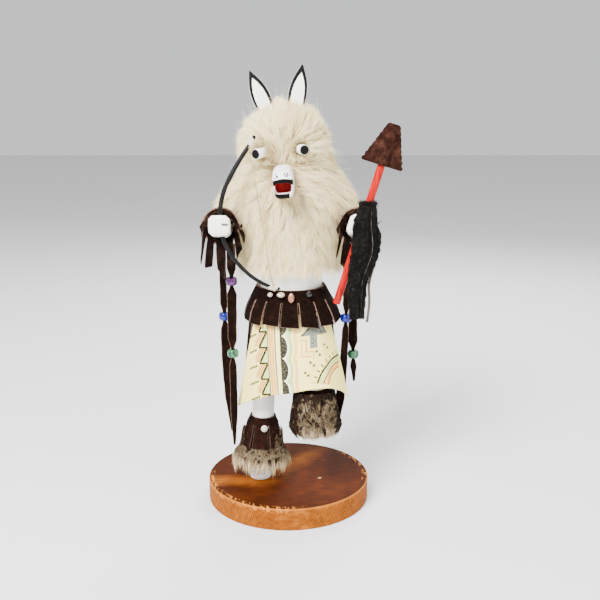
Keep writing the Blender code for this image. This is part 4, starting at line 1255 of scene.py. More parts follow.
def kilt(suede, rim):
    angles = strip_angles(KILT_STRIPS, KILT_SLIT, KILT_FACES)
    shares = fringe_shares(KILT_BAND, 7, 18)
    random = np.random.default_rng(21)
    cut = random.uniform(0, 0.035, KILT_STRIPS)
    slant = random.uniform(-0.02, 0.02, KILT_STRIPS)
    sway = random.uniform(-0.0008, 0.0012, KILT_STRIPS)
    grid = np.empty((len(angles), len(shares), 3))
    for i, j, phi, share, strip, across, loose in fringe(angles, KILT_FACES, shares, KILT_BAND):
        down = share - loose * (cut[strip] + slant[strip] * across)
        r = kilt_radius(share) + KILT_WAVE * ripple(phi, 5) * share**2
        r += loose * (max(0.0, sway[strip]) + 0.0005 * across**2)
        grid[i, j] = BODY + around(phi) * r + vec(0, 0, WAIST_Z - KILT_LENGTH * down)

    def keep(i, j):
        strip, face = divmod(i, KILT_FACES + 1)
        strip = strip - KILT_STRIPS if strip > KILT_STRIPS / 2 else strip
        open_front = KILT_OPEN[0] < strip < KILT_OPEN[1]
        return shares[j + 1] <= KILT_BAND + 1e-6 or (face < KILT_FACES and not open_front)

    hide("kilt_skirt", grid, SUEDE, suede, rim, "brown_suede", "kilt", keep=keep, closed=True)


def belt_flap(suede, rim):
    angles = strip_angles(FLAP_STRIPS, FLAP_SLIT, FLAP_FACES)
    shares = fringe_shares(FLAP_BAND, 5, 10)
    random = np.random.default_rng(22)
    cut = random.uniform(0, 0.08, FLAP_STRIPS)
    slant = random.uniform(-0.06, 0.06, FLAP_STRIPS)
    grid = np.empty((len(angles), len(shares), 3))
    for i, j, phi, share, strip, across, loose in fringe(angles, FLAP_FACES, shares, FLAP_BAND):
        down = share - loose * (cut[strip] + slant[strip] * across)
        wave = FLAP_WAVE * (1 + ripple(phi, 7)) * share**2
        r = flap_radius(share, phi) + wave + 0.0004 * loose * across**2
        grid[i, j] = BODY + around(phi) * r + vec(0, 0, WAIST_Z - FLAP_LENGTH * down)

    def keep(i, j):
        return shares[j + 1] <= FLAP_BAND + 1e-6 or i % (FLAP_FACES + 1) != FLAP_FACES

    hide("belt_flap_suede", grid, SUEDE, suede, rim, "brown_suede", "belt_flap", keep=keep, closed=True)


APRON_LEFT, APRON_RIGHT = math.radians(-56), math.radians(62)
APRON_HEM = [
    (0, -12.0, -4.6, 19.7), (0.10, -9.3, -7.6, 21.8), (0.28, -4.0, -11.4, 24.6), (0.43, 0.6, -13.3, 25.7),
    (0.60, 5.4, -14.8, 27.2), (0.76, 9.8, -13.4, 27.2), (0.88, 12.4, -10.4, 25.5), (1, 14.5, -7.9, 23.2),
]
APRON_EASE, APRON_SWELL, APRON_FOLD = 1.28, 0.0024, 0.0007
APRON_MIDDLE = 0.43


def apron_point(u, v):
    """The cloth's inner face: u runs from the bow side to the lance side, v from the belt to the hem."""
    phi = APRON_LEFT + (APRON_RIGHT - APRON_LEFT) * u
    r = kilt_radius(APRON_TOP / KILT_LENGTH) + SUEDE + LAYER_GAP
    top = BODY + around(phi) * r + vec(0, 0, WAIST_Z - APRON_TOP)
    hem = pose(*between(APRON_HEM, u))
    ease = v**APRON_EASE
    point = top + (hem - top) * vec(ease, ease, v)
    belly = max(0.0, math.sin(math.pi * min(1, v * 1.15))) ** 0.8 * v**0.5
    fold = math.sin(u * 9.0 + 0.7) * v
    return point + around(phi) * (APRON_SWELL * belly + APRON_FOLD * fold)


CREAM, PEACH, MINT = tone(254, 237, 136), tone(236, 146, 74), tone(150, 206, 132)
INK, OLIVE, RUST = tone(12, 12, 10), tone(24, 23, 8), tone(160, 52, 10)
TOOTH, TOOTH_TOP, TOOTH_FOOT = 12.8, 15.3, -17.2
SCALLOP, SCALLOP_TOP, SCALLOP_FOOT = 18.4, 8.25, -5.8
ARC_S, ARC_T, ARC_R = 48.0, 63.0, 24.5
STRIPES = [
    (-16.5, 1.15, OLIVE), (-14.2, 1.6, PEACH), (-15.1, 0.4, RUST), (-12.7, 0.60, RUST), (-11.5, 1.2, PEACH),
    (-9.8, 1.15, OLIVE), (-8.6, 1.2, tone(246, 238, 222)),
]
DOTS = [
    (31.7, 26.9), (34.7, 29.6), (24.2, 31.3), (26.6, 34.4),
    (18.7, 39.6), (21.5, 42.2), (14.5, 47.4), (16.8, 49.7),
]


def band(wire, middle, width, soft=0.25):
    """1 on a line of that width."""
    return abs(wire - middle).under(width / 2, soft)


def teeth(s, t):
    """The saw teeth at the bow side, their hatching and their dots."""
    left = (TOOTH_FOOT - s) / 8.3
    part = ((t - TOOTH_TOP - left * 1.4) / TOOTH).math("FRACT")
    off = (left - part) * 6.46
    tall = t.over(TOOTH_TOP - 3, 0.3)
    row = left.within(-0.02, 1.03, 0.02) & tall
    inside = row & off.under(0.0, 0.2)
    foot = abs(part - 0.5).over(0.5 - 0.80 / TOOTH, 0.02)
    lines = row & (abs(off).under(0.95, 0.2) | foot)
    hatched = off.within(1.1, 5.6, 0.5) & part.within(0.06, 0.93, 0.08) & left.under(1.55, 0.1)
    hatch = hatched & (off * (2 * math.pi / 1.7)).math("SINE").over(0.25, 0.5)
    at = (-29.0 - s) / 2.4
    near = at - at.math("ROUND")
    drop = ((t - TOOTH_TOP - 4.2 - (-29.0 - s) * 0.5) / TOOTH + 0.5).math("FRACT") - 0.5
    dots = (near * near * 5.8 + drop * drop * TOOTH**2).math("SQRT").under(1.05, 0.25) & at.within(-0.5, 3.5)
    return (hatched * 0.45, PEACH), (hatch * 0.8, RUST), (inside * 0.55, MINT), (lines, OLIVE), (dots, OLIVE)


def stripes(s):
    """The straight stripes beside the teeth."""
    return [(band(s, middle, width) * 0.85, colour) for middle, width, colour in STRIPES]


def scallops(f, s, t, stipple):
    """Charcoal half ovals with mint and peach echoes."""
    part = (((t - SCALLOP_TOP) / SCALLOP + 0.5).math("FRACT") - 0.5) * (SCALLOP / 9.5)
    side = (s - SCALLOP_FOOT) / 6.2
    reach = distance(side, part)
    right = s.over(SCALLOP_FOOT, 0.2)
    shade = f.mix(stipple.over(0.60, 0.10), tone(12, 12, 10), tone(120, 120, 100))
    return (
        (right & reach.within(1.95, 2.35, 0.2) * 0.55, PEACH),
        (right & reach.within(1.20, 1.62, 0.05) * 0.6, MINT),
        (right & reach.within(1.50, 1.62, 0.05) & stipple.over(0.40, 0.1) * 0.9, tone(104, 150, 118)),
        (right & reach.under(1.18, 0.04), tone(252, 248, 226)),
        (right & reach.under(1.0, 0.03), shade),
    )


def bar(s, t, low_s, high_s, low_t, high_t, soft=0.3):
    return s.within(low_s, high_s, soft) & t.within(low_t, high_t, soft)


def steps(s, t):
    """Two peach steps, one inside the other."""
    outer = bar(s, t, 10.2, 15.9, 20.9, 21.9) | bar(s, t, 14.9, 15.9, 20.9, 31.4)
    outer = outer | bar(s, t, 14.9, 22.2, 30.4, 31.4) | bar(s, t, 21.3, 22.2, 30.4, 37.0)
    inner = bar(s, t, 11.6, 12.6, 24.6, 35.0) | bar(s, t, 11.6, 20.0, 34.0, 35.0)
    return ((outer | inner) * 0.8, tone(220, 122, 54)),


def roof(f, s, t, stipple):
    """A stippled grey roof on a short stem."""
    left = (s - 11.0) * 1.02 + (t - 17.9)
    right = (35.6 - s) * 1.60 + (t - 17.6)
    body = (left & right).over(0.0, 0.4) & t.under(18.0, 0.4)
    stem = bar(s, t, 18.7, 24.9, 17.5, 28.2)
    edge = body & ((left & right).under(1.6, 0.6) | band(s - t * 0.55, 20.4, 0.9))
    grey = f.mix(stipple.over(0.52, 0.14), tone(52, 55, 53), tone(160, 165, 156))
    return (body | stem, grey), (edge * 0.7, INK)


def dots(s, t):
    """Scattered pairs of dots."""
    spot = None
    for x, y in DOTS:
        one = distance(s - x, t - y).under(1.15, 0.3)
        spot = one if spot is None else spot | one
    return (spot * 0.9, OLIVE),


def arc(s, t, stipple):
    """A dark arc with ticks outside it and mint, rust and peach bands inside."""
    dx, dy = s - ARC_S, t - ARC_T
    far = distance(dx, dy)
    angle = dy.math("ARCTAN2", dx) * (180 / math.pi)
    here = angle.within(-166, -84, 0.5)
    beat = abs(((angle + 166.5) / 10.6).math("FRACT") - 0.5)
    tick = beat.over(0.405, 0.02) & far.within(26.2, 29.2, 0.3)
    long = beat.over(0.46, 0.02) & far.within(24.5, 28.8, 0.3)
    return (
        (here & far.within(15.6, 18.6, 0.4) * 0.7, PEACH),
        (here & far.within(20.9, 23.4, 0.3) * 0.6, MINT),
        (here & band(far, 20.9, 0.5) * 0.7, tone(104, 150, 118)),
        (here & band(far, 19.3, 1.1), tone(104, 48, 18)),
        (here & band(far, 15.3, 1.0) & stipple.over(0.36, 0.1), RUST),
        (here & (tick | long * 0.4), OLIVE),
        (here & band(far, ARC_R, 1.6), INK),
    )


def cloth_finish():
    """Cream cotton printed with teeth, stripes, scallops, steps, a roof, dots and an arc, a little faded."""
    f = Finish("printed_cloth", 0.85, Specular_IOR_Level=0.2)
    s, t, _ = f.attribute("place")
    weave = (s * (2 * math.pi / 0.00060)).math("SINE") * (t * (2 * math.pi / 0.00060)).math("SINE")
    bleed = f.noise(0.0016, 3, 0.6)
    s, t = s * 1000 + (bleed - 0.5) * 0.55, t * 1000 + (bleed - 0.5) * 0.45
    stipple = f.noise(0.00045, 3, 0.7)
    cloud = f.noise(0.014, 4, 0.6)
    base = f.mix(cloud.over(0.5, 0.4) * 0.35, CREAM, tone(238, 222, 150))
    base = f.mix(stipple.over(0.62, 0.06) * 0.16, base, tone(150, 176, 140))
    colour = f.layers(
        base, *steps(s, t), *dots(s, t), *arc(s, t, stipple), *scallops(f, s, t, stipple), *teeth(s, t),
        *stripes(s), *roof(f, s, t, stipple),
    )
    f.colour(f.mix(f.noise(0.0011, 3, 0.7).over(0.60, 0.1) * 0.22, colour, CREAM))
    f.bump(weave * 0.5 + 0.5, 0.00010)
    return f


def apron(cloth, rim):
    columns, rows = 96, 72
    spots = [(i / columns, j / rows) for i in range(columns + 1) for j in range(rows + 1)]
    grid = np.array([apron_point(u, v) for u, v in spots]).reshape(columns + 1, rows + 1, 3)
    step = np.linalg.norm(np.diff(grid, axis=0), axis=2)
    across = np.concatenate([np.zeros((1, rows + 1)), np.cumsum(step, axis=0)])
    across = across - across[round(APRON_MIDDLE * columns)]
    drop = np.linalg.norm(np.diff(grid, axis=1), axis=2)
    down = np.concatenate([np.zeros((columns + 1, 1)), np.cumsum(drop, axis=1)], axis=1)
    made = hide("apron_cloth", grid, CLOTH, cloth, rim, "printed_cloth", "kilt_apron", bevel=0)
    give(made, "place", np.stack([across, down, np.zeros_like(down)], axis=2).reshape(-1, 3))


BOOT_HEIGHT, BOOT_CUFF, BOOT_FUR_TOP, BOOT_FLARE = 0.044, 0.029, 0.010, 0.0068
BOOT_TABS, BOOT_FACES, BOOT_SLIT = 7, 8, math.radians(7)
BOOT_BAND = 0.22
BOOT_SIDES = 48
STANDING_FOOT, STANDING_HIP = pose(-7.0, -1.0, 0), pose(-5.3, -0.8, 37.4)
RAISED_KNEE, RAISED_FOOT = pose(6.1, -9.3, 28.9), pose(6.6, -10.0, 16.2)
BOOT_TOP_AT = 0.0565
RAISED_SCALE = 0.80


def boot(name, top, way, scale, flare, fur, suede, rim, seed, density, covered, dark_share):
    """A suede cuff cut into tabs and a skirt of long fur, both round a leg. way runs down the leg.

    Where the cuff is covered, fur lies over it too. dark_share says how much of the fur is dark at a place.
    """
    inner = LEG_R + FIT_GAP
    collar = inner + FUR_COLLAR
    length, tall, fur_top = BOOT_CUFF * scale, BOOT_HEIGHT * scale, BOOT_FUR_TOP * scale
    turn = np.array(Vector((0, 0, -1)).rotation_difference(Vector(way)).to_matrix())

    def skirt(drop):
        return collar + LAYER_GAP + (BOOT_FLARE * scale - FUR_COLLAR) * (drop / length) ** 1.25

    angles = strip_angles(BOOT_TABS, BOOT_SLIT, BOOT_FACES)
    shares = fringe_shares(BOOT_BAND, 4, 12)
    random = np.random.default_rng(seed)
    cut = random.uniform(0, 0.10, BOOT_TABS)
    grid = np.empty((len(angles), len(shares), 3))
    for i, j, phi, share, strip, across, loose in fringe(angles, BOOT_FACES, shares, BOOT_BAND):
        drop = length * (share - loose * (cut[strip] + 0.05 * across * math.sin(strip * 2.1)))
        r = inner + (skirt(length * share) - inner) * min(1, share / BOOT_BAND)
        r += 0.0004 * (1 + ripple(phi, 4)) * share**2 + 0.0005 * loose * across**2
        grid[i, j] = top + way * drop + turn @ (around(phi) * r)

    def keep(i, j):
        return shares[j + 1] <= BOOT_BAND + 1e-6 or i % (BOOT_FACES + 1) != BOOT_FACES

    node = f"boot_cuff_{name}"
    hide(f"boot_tabs_{name}", grid, SUEDE, suede, rim, "brown_suede", node, keep=keep, closed=True)

    hem = inner + flare

    def rings(profile):
        """Rings round the leg, at each radius and drop."""
        return [top + way * drop + turn @ (around(a) * r) for r, drop in profile for a in circle(BOOT_SIDES)]

    def skirts(outside):
        """The form that the fur lies along, under the cuff or over it."""
        lift = SUEDE + 0.0012 if outside else -LAYER_GAP
        start = length * 0.04 if outside else fur_top
        outer = [
            (skirt(0) + lift, -fur_top), (skirt(fur_top) + lift, fur_top),
            (skirt(length * 0.5) + lift, length * 0.5), (skirt(length) + LAYER_GAP, length + 0.0025),
            (hem, tall * 0.88), (hem * 1.04, tall * 1.02), (hem * 1.06, tall * 1.25),
        ]
        if covered:
            outer[-3:] = [(hem, tall * 0.84), (hem * 0.96, tall), (hem * 0.70, tall * 1.25)]
            if outside:
                first = skirt(0) + lift + 0.0020
                outer[1:4] = [(first, length * 0.12), (hem * 0.86, length * 0.45), (hem, length)]
        drops = np.linspace(start, tall * 1.2, 26)
        radii = np.interp(drops, [drop for _, drop in outer], [r for r, _ in outer])
        return Surface(rings(zip(radii, drops)), ring_faces(len(drops), BOOT_SIDES, caps=False))

    profile = [
        (collar - 0.0008, fur_top), (skirt(length * 0.5) - 0.0022, length * 0.5),
        (skirt(length) - 0.0026, length), (hem - 0.0050, tall * 0.80),
        (inner + 0.0004, tall * 0.74), (inner + 0.0004, fur_top),
    ]
    pelt = rings(profile)
    faces = ring_faces(len(profile), BOOT_SIDES, closed=True)
    skin = piece(f"boot_pelt_{name}", pelt, faces, fur, "brown_fur", f"boot_fur_{name}")
    # The pelt takes mostly the root colour, darkened halfway to the stain colour: painted shade under the fur
    give(skin, "strand", np.tile((0.2, 0.3, 0.5), (len(pelt), 1)))

    def comb(at, normal):
        out = at - top
        out = unit(out - way * (out @ way)[:, None])
        flow = way + out * (2.0 if covered else 0.45)
        flow = flow - normal * (flow * normal).sum(1, keepdims=True)
        return unit(flow)

    def low(p):
        drop = (p - top) @ way
        return (drop > length * 0.87) * (drop < tall * (0.88 if covered else 0.82)) + 0.0

    def over(p):
        drop = (p - top) @ way
        side = np.arctan2(p[:, 0] - top[0], top[1] - p[:, 1])
        if covered:
            tabs = (abs(side) < 0.42) & (drop > length * 0.25) & (drop < length * 0.70)
            return (drop < tall * 0.80) * np.where(tabs, 0.06, 1.0)
        tuft = np.exp(-(((side - 0.85) / 0.14) ** 2)) * np.clip(drop / length - 0.45, 0, 0.4)
        sides = np.exp(-(((abs(side) - 1.70) / 0.42) ** 2)) * np.clip(drop / length - 0.38, 0, 0.4)
        return (tuft + sides) * (drop < tall * 0.7)

    def proud(p):
        return np.where((p - top) @ way < length * 0.8, -0.0010, 0.0014)

    def bold(p):
        return np.full(len(p), 0.0050 if covered else 0.0030)

    def long(p):
        return np.full(len(p), (0.0200 if covered else 0.0130) * scale)

    bare_leg = node_tree([f"leg_{name}"])
    grown = []
    coats = ((False, 7500, 0.0028, low, proud), (True, 15500 if covered else 5000, 0.0014, over, bold))
    for outside, count, depth, weight, rise in coats:
        form = skirts(outside)
        coat = Coat(form, seed + outside * 10, comb, long, depth, rise, sway=0.28, pull=0.62, weight=weight)
        paths, flat, lock = coat.grow(int(count * 0.045 * density**0.5) + 60, int(count * density))
        random = coat.random
        paths, kept = trimmed(paths, inside(paths, bare_leg, 0.0002))
        kept &= paths[:, :, 2].min(axis=1) > BASE_TOP + 0.0004
        pick = random.uniform(0, 1, lock.max() + 1)[lock]
        shade = random.uniform(0, 1, lock.max() + 1)[lock] * 0.8 + random.uniform(0, 0.2, len(lock))
        dark = (pick < dark_share(paths[:, 0])) * random.uniform(0.90, 1.0, len(lock))
        width = random.uniform(0.00022, 0.00042, len(lock))
        grown.append([part[kept] for part in (paths, flat, width, np.stack([shade, dark], axis=1))])
    paths, flat, width, attribute = (np.concatenate(parts) for parts in zip(*grown))
    ribbons(f"boot_hair_{name}", paths, flat, width, attribute, fur, "brown_fur")


CUFF_LENGTH, CUFF_FLARE = 0.024, 0.0066
CUFF_STRIPS, CUFF_FACES, CUFF_SLIT = 11, 6, math.radians(7)
FRINGE_LENGTH, FRINGE_SPLAY = 0.025, 0.0034
CUFF_FRINGE_ARC = math.radians(112)


def sleeve_cuff(name, side, hand, suede, rim):
    """A flared suede cuff round the forearm, with fringe strips that hang from its front rim."""
    elbow = vec(hand[0], 0, pose(0, 0, 62.0)[2])
    wrist = hand + vec(0, HAND_R * 0.6, 0)
    back = unit(elbow - wrist)
    wrist = wrist + back * HAND_R * 0.45
    angles = strip_angles(CUFF_STRIPS, CUFF_SLIT, CUFF_FACES)
    rim_rows, fringe_rows = 6, 14
    random = np.random.default_rng(31 + side)
    trim = random.uniform(0.86, 1.0, CUFF_STRIPS)
    grid = np.empty((len(angles), rim_rows + fringe_rows + 1, 3))
    for i, phi in enumerate(angles):
        strip, n = divmod(i, CUFF_FACES + 1)
        across = n / CUFF_FACES * 2 - 1
        out = vec(math.sin(phi), 0, -math.cos(phi))
        below = max(0.0, math.cos(phi)) ** 0.5
        uneven = (1 + 0.14 * math.sin(4 * phi + 1 + side)) * trim[strip]
        length = FRINGE_LENGTH * (0.30 + 0.70 * below) * uneven
        for j in range(rim_rows + 1):
            share = j / rim_rows
            r = ARM_R + FIT_GAP + CUFF_FLARE * share**1.3
            grid[i, j] = wrist + back * CUFF_LENGTH * (1 - share) + out * r
        for j in range(1, fringe_rows + 1):
            t = j / fringe_rows
            r = ARM_R + FIT_GAP + CUFF_FLARE + FRINGE_SPLAY * t * (1 + 0.5 * math.sin(5 * phi))
            narrow = vec(math.cos(phi), 0, math.sin(phi)) * (-across * 0.0012 * t**2)
            hang = vec(0, 0, -length * t) - back * SUEDE * math.sin(math.pi * t)
            grid[i, rim_rows + j] = wrist + out * r + hang + narrow

    def keep(i, j):
        at = len(angles) - 2 - i
        below = abs(math.remainder(angles[at], 2 * math.pi)) < CUFF_FRINGE_ARC
        return j < rim_rows or (below and at % (CUFF_FACES + 1) < CUFF_FACES)

    hide(f"{name}_suede", grid[::-1], SUEDE, suede, rim, "brown_suede", name, keep=keep, closed=True)


THONGS = [
    ("bow_outer", (-15.3, -3.6, 59.6), (-13.8, -3.6, 12.9), [(41.9, "blue")]),
    ("bow_inner", (-13.0, -6.9, 59.9), (-12.9, -6.9, 10.6), [(51.1, "violet"), (33.7, "green")]),
    ("lance_front", (14.1, -5.6, 59.4), (12.0, -3.2, 13.4), [(41.9, "blue")]),
    ("lance_back", (15.4, -2.4, 59.6), (16.1, -1.4, 25.0), [(32.0, "green")]),
]
THONG_WIDTH, THONG_WAIST, THONG_TAPER = 0.0080, 0.0028, 4.2
BEAD_NARROW, BEAD_WIDENING = 0.62, 1.6
BEAD_R, BEAD_HEIGHT, BEAD_BORE = 0.0047, 0.0068, 0.0022


def pony_bead(name, middle, finish, colour):
    """A rounded bead with a bore: the upper half's profile, mirrored."""
    upper = [
        (BEAD_BORE, 0.94), (BEAD_BORE + 0.0003, 1), (BEAD_R * 0.66, 0.99), (BEAD_R * 0.82, 0.88),
        (BEAD_R * 0.94, 0.62), (BEAD_R, 0.25),
    ]
    half = BEAD_HEIGHT / 2
    profile = [(r, half * high) for r, high in upper] + [(r, -half * high) for r, high in reversed(upper)]
    turned(f"pony_{name}", profile, middle, vec(0, 0, 1), 36, finish, f"{colour}_bead", name)


def thong(name, start, end, beads, suede, rim, finishes):
    """A suede thong that hangs down and narrows where it goes through its beads."""
    top, low = start[2], end[2]

    def line(share):
        swing = vec(share**2, share**2, share)
        return pose(*(vec(*start) + (vec(*end) - vec(*start)) * swing))

    shares = np.linspace(0, 1, 91)
    spans = (-1, -0.5, 0, 0.5, 1)
    grid = np.empty((len(spans), len(shares), 3))
    for j, share in enumerate(shares):
        middle = line(share)
        wide = THONG_WIDTH * (0.86 + 0.14 * math.sin(share * 7 + start[0]))
        wide *= min(1, 0.25 + (1 - share) * THONG_TAPER) * (1 + 0.03 * math.sin(share * 61 + start[1]))
        for at, _ in beads:
            away = abs(top + (low - top) * share - at) * PERCENT
            near = (away / BEAD_HEIGHT - BEAD_NARROW) / (BEAD_WIDENING - BEAD_NARROW)
            wide = THONG_WAIST + (wide - THONG_WAIST) * min(1, max(0, near))
        curl = SUEDE * 0.6 * math.sin(share * 11 + start[0]) * wide / THONG_WIDTH
        cup = 0.0006 * (wide / THONG_WIDTH) * math.cos(share * 9 + start[1])
        for i, across in enumerate(spans):
            grid[i, j] = middle + vec(across * wide / 2, curl * across + cup * (across**2 - 1) * 0.5, 0)
    hide(f"thong_{name}_suede", grid, SUEDE, suede, rim, "brown_suede", f"thong_{name}")
    for at, colour in beads:
        middle = line((at - top) / (low - top)) - vec(0, SUEDE / 2, 0)
        pony_bead(f"bead_{name}_{colour}", middle, finishes[colour], colour)


BANNER_ROWS = [
    (69.7, 17.9, -12.9, 1.5), (68.2, 17.6, -14.8, 2.0), (65.6, 17.2, -15.3, 2.6), (61.5, 17.4, -15.3, 3.0),
    (58.6, 17.2, -15.0, 3.0), (55.4, 16.4, -14.6, 2.7), (52.4, 15.8, -14.3, 2.1), (48.0, 15.7, -14.0, 1.8),
    (43.8, 15.8, -13.8, 1.5),
]
STRAND_ROWS = [
    (62.0, 20.6, -13.9), (57.5, 19.7, -13.9), (52.0, 18.4, -13.9), (47.5, 18.5, -13.7), (43.0, 18.1, -13.6),
]


def banner(suede, rim):
    rows = smooth_path([(x, y, z) for z, x, y, _ in BANNER_ROWS], 6)
    wides = smooth_path([(half, 0, 0) for *_, half in BANNER_ROWS], 6)[:, 0]
    spans = np.linspace(-1, 1, 13)
    grid = np.empty((len(spans), len(rows), 3))
    for j, ((x, y, z), half) in enumerate(zip(rows, wides)):
        for i, across in enumerate(spans):
            rough = 1 + 0.04 * math.sin(j * 1.7 + across * 3) * abs(across)
            fold = -0.25 * (1 - across**2) - 0.1 * math.sin(j * 0.35 + across * 2)
            fold += 0.55 * math.exp(-(((across - 0.42) / 0.16) ** 2)) * min(1, j / 8)
            grid[i, j] = pose(x + across * half * rough, y + fold, z)
    hide("banner_suede", grid, SUEDE, suede, rim, "black_suede", "lance_banner")
    line = smooth_path([(x, y, z) for z, x, y in STRAND_ROWS], 8)
    strand = np.array([[pose(x + across * 0.29, y, z) for x, y, z in line] for across in (-1, 0, 1)])
    hide("banner_strand_suede", strand, SUEDE, rim, rim, "black_suede", "lance_strand", bevel=0)
    fold = [grid[9, j] - vec(0, SUEDE + 0.0001, 0) for j in range(6, len(rows) - 1)]
    radii = [0.00030 + 0.00008 * math.sin(j * 1.3) for j in range(len(fold))]
    tube("banner_fold", fold, radii, 6, rim, "black_suede")
    nap(grid, SUEDE)


def nap(grid, thickness):
    """Short dark hair on both faces of the banner and along its edges, longer at the top."""
    random = np.random.default_rng(71)
    count = 7500
    columns, rows = grid.shape[0] - 1, grid.shape[1] - 1
    u, v = random.uniform(0, columns, count), random.uniform(0, rows, count)
    edge = random.random(count) < 0.16
    u[edge] = np.where(random.random(edge.sum()) < 0.5, 0.02, columns - 0.02)
    top = random.random(count) < 0.12
    v[top] = random.uniform(0, 2.2, top.sum())
    i, j = np.minimum(u.astype(int), columns - 1), np.minimum(v.astype(int), rows - 1)
    a, b = (u - i)[:, None], (v - j)[:, None]
    before = grid[i, j] * (1 - a) + grid[i + 1, j] * a
    after = grid[i, j + 1] * (1 - a) + grid[i + 1, j + 1] * a
    root = before * (1 - b) + after * b
    normal = unit(np.cross(grid[i + 1, j] - grid[i, j], grid[i, j + 1] - grid[i, j]))
    side = random.choice([-1.0, 1.0], (count, 1), p=(0.35, 0.65)) * np.where(normal[:, 1:2] < 0, 1, -1)
    root = root + normal * side * np.where((normal * side)[:, 1:2] < 0, thickness, 0.0)
    away = np.where(edge, np.where(u < 1, -1.0, 1.0), 0.0)[:, None] * vec(1, 0, 0)
    long = random.uniform(0.0007, 0.0017, (count, 1)) * np.where(top, 3.0, 1.0)[:, None]
    lean = normal * side * 0.5 + away * 0.9 + top[:, None] * vec(0, 0, 1.7)
    way = unit(vec(0, 0, -1) + lean + random.normal(0, 0.9, (count, 3)))
    share = np.linspace(0, 1, LEVELS)[None, :, None]
    droop = vec(0, 0, -1) * share**2 * 0.3
    paths = root[:, None] + (way[:, None] * share + droop) * long[:, None]
    flat = np.repeat(unit(np.cross(way, normal))[:, None], LEVELS, axis=1)
    attribute = np.stack([random.uniform(0, 1, count) ** 7, np.zeros(count)], axis=1)
    width = random.uniform(0.00018, 0.00032, count)
    tones = (tone(2, 2, 1), tone(4, 4, 3), tone(74, 66, 58), tone(3, 3, 2), tone(30, 26, 22))
    ribbons("banner_nap", paths, flat, width, attribute, fur_finish("black_nap", *tones), "black_suede")


# What stays CAD and gets a finish


def dress(name, finish):
    mesh = NODES[name].data
    mesh.materials.clear()
    mesh.materials.append(finish.material)


def carve(name, finish, width, segments=2):
    """A carried-over CAD node with its finish and slightly worn edges."""
    dress(name, finish)
    soft = NODES[name].modifiers.new("worn_edge", "BEVEL")
    soft.width = width
    soft.segments = segments
    soft.limit_method = "ANGLE"
    soft.angle_limit = math.radians(35)


# Stage


FLOOR_REACH = 6.0
AIR = (0.90, 0.91, 0.93, 1)
AIR_STRENGTH = 0.95
# Name, place, size in metres and power in watts
LIGHTS = [
    ("key", (-0.55, -0.95, 1.15), 0.6, 84),
    ("fill", (0.95, -0.7, 0.65), 0.9, 13),
    ("back", (0.3, 0.9, 0.95), 0.7, 18),
]
LIGHTS_AIM = (0, 0, 0.19)
CAMERA_PLACE = (0.0102, -0.6887, 0.3317)
CAMERA_TILT = math.radians(77.30)


def stage():
    """A pale floor, soft lights and the camera."""
    floor = bpy.data.meshes.new("floor")
    corners = [(x * FLOOR_REACH, y * FLOOR_REACH, 0) for x, y in ((-1, -1), (1, -1), (1, 1), (-1, 1))]
    floor.from_pydata(corners, [], [(0, 1, 2, 3)])
    made = link("floor", floor)
    f = Finish("floor", 0.9)
    f.colour(f.mix(f.noise(0.5, 2) * 0.3, tone(226, 226, 226), tone(220, 220, 221)))
    floor.materials.append(f.material)
    world = bpy.data.worlds.new("studio")
    bpy.context.scene.world = world
    world.use_nodes = True
    background = world.node_tree.nodes["Background"]
    background.inputs["Color"].default_value = AIR
    background.inputs["Strength"].default_value = AIR_STRENGTH
    for name, place, size, power in LIGHTS:
        light = bpy.data.lights.new(name, "AREA")
        light.size = size
        light.energy = power
        lamp = link(name, light)
        lamp.location = place
        lamp.rotation_euler = (Vector(LIGHTS_AIM) - Vector(place)).to_track_quat("-Z", "Y").to_euler()
    camera = bpy.data.cameras.new("camera")
    camera.lens = 50
    camera.sensor_width = 36
    camera.clip_start = 0.01
    view = link("camera", camera)
    view.location = CAMERA_PLACE
    view.rotation_euler = (CAMERA_TILT, 0, 0)
    bpy.context.scene.camera = view


# Each arm, its hand, and where the line of its thumb starts and ends
HANDS = [("arm_bow_side", BOW_HAND, 0.0022, 0.0072), ("arm_lance_side", LANCE_HAND, -0.0022, 0.0026)]
# Fur colours: root, low and high tone, stain and streak. The root colour is painted shade among the hairs
WHITE_FUR = [(150, 110, 50), (230, 198, 128), (255, 248, 204), (200, 158, 88), (255, 253, 236)]
BROWN_FUR = [(40, 22, 11), (158, 122, 78), (246, 228, 190), (26, 12, 6), (214, 186, 140)]
BEADS = {
    "violet": ((34, 5, 44), (88, 36, 100)),
    "blue": ((2, 8, 74), (12, 32, 130)),
    "green": ((10, 52, 30), (58, 118, 78)),
    "black": ((20, 18, 20), (48, 46, 50)),
}
# Node, name of its finish, and the stone's two colours
STONES = [
    ("belt_shell", "shell", (226, 208, 196), (168, 130, 116)),
    ("belt_stone_pale", "pale_stone", (206, 186, 158), (150, 122, 96)),
    ("belt_stone_coral", "coral_stone", (172, 112, 84), (116, 70, 52)),
    ("boot_button", "button_pearl", (226, 214, 196), (176, 158, 136)),
]


def tones(rows):
    return [tone(*row) for row in rows]


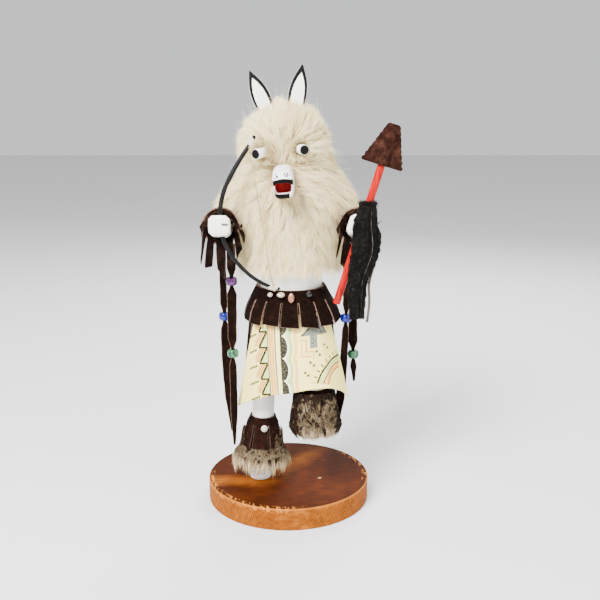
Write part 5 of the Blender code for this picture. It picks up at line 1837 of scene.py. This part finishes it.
def main():
    stage()
    density = 1.0
    white = paint_finish("white_paint", WHITE, WHITE_DIRT)
    brown = suede_finish("brown_suede", tone(8, 2, 1), tone(15, 6, 3), tone(34, 16, 10))
    mottles = tones([(8, 3, 2), (26, 13, 8), (112, 80, 62)])
    mottled = suede_finish("mottled_suede", *mottles, BOW_HAND[2] - 0.004)
    boot_suede = suede_finish("boot_suede", tone(12, 4, 2), tone(26, 11, 7), tone(52, 27, 18))
    point_suede = suede_finish("point_suede", tone(16, 6, 4), tone(36, 17, 12), tone(70, 42, 32))
    black = suede_finish("black_suede", tone(3, 3, 2), tone(9, 8, 7), tone(30, 26, 22))
    rim = edge_finish("cut_suede", tone(132, 104, 86), tone(56, 36, 27))
    dark_rim = edge_finish("cut_black_suede", tone(96, 88, 80), tone(30, 27, 25))
    cream = fur_finish("white_fur", *tones(WHITE_FUR))
    cut = edge_finish("boot_suede_edge", tone(72, 42, 32), tone(34, 16, 11))
    streaky = fur_finish("brown_fur", *tones(BROWN_FUR))
    twine = twine_finish("twine", tone(196, 178, 140), tone(240, 230, 204), tone(253, 249, 236))
    string = twine_finish("bow_string_twine", tone(120, 96, 60), tone(168, 142, 98), tone(204, 184, 142))
    carve("base", wood_finish(), 0.0004)
    for name in ("torso", "leg_standing", "leg_raised"):
        dress(name, white)
    for name, hand, low, high in HANDS:
        carve(name, hand_finish(name, hand, low, high), 0.0028, 4)
    hood(cream, density)
    for name, side in (("bow_side", -1), ("lance_side", 1)):
        ear(f"ear_{name}", side)
        eye(f"eye_{name}", side)
    muzzle()
    bow(bow_finish(), twine, string)
    lance(red_finish(), point_suede)
    banner(black, dark_rim)
    kilt(brown, rim)
    belt_flap(brown, rim)
    cloth = cloth_finish()
    apron(cloth, edge_finish("cloth_edge", tone(246, 240, 220), tone(226, 216, 186)))
    up = unit(STANDING_HIP - STANDING_FOOT)
    heel = STANDING_FOOT + vec(-0.020, -0.012, 0.006)

    def standing_dark(p):
        return 0.16 + 0.8 * np.exp(-((np.linalg.norm(p - heel, axis=1) / 0.012) ** 2))

    top = STANDING_FOOT + up * BOOT_TOP_AT
    boot("standing", top, -up, 1, 0.0142, streaky, boot_suede, cut, 41, density, False, standing_dark)
    shin = unit(RAISED_FOOT - RAISED_KNEE)
    top = RAISED_FOOT - shin * (BOOT_HEIGHT * RAISED_SCALE - SUEDE)

    def raised_dark(p):
        """Dark above and at both sides, pale in the middle of the front. These dark locks are partly the
        fur's own brown and partly painted shade, under the apron, behind and at the sides.
        """
        rise = (p[:, 2] - RAISED_FOOT[2] - 0.024) / 0.006
        side = (abs(p[:, 0] - RAISED_FOOT[0] - 0.002) - 0.0125) / 0.005
        return np.where(p[:, 1] > RAISED_FOOT[1], 0.97, np.clip(np.maximum(rise, side), 0.26, 0.97))

    boot("raised", top, shin, RAISED_SCALE, 0.0098, streaky, boot_suede, cut, 42, density, True, raised_dark)
    sleeve_cuff("sleeve_cuff_bow_side", -1, BOW_HAND, mottled, rim)
    sleeve_cuff("sleeve_cuff_lance_side", 1, LANCE_HAND, mottled, rim)
    beads = {name: bead_finish(f"{name}_bead", *tones(pair)) for name, pair in BEADS.items()}
    for row in THONGS:
        thong(*row, brown, rim, beads)
    dress("belt_bead_black", beads["black"])
    for node, name, *pair in STONES:
        dress(node, stone_finish(name, *tones(pair)))


main()
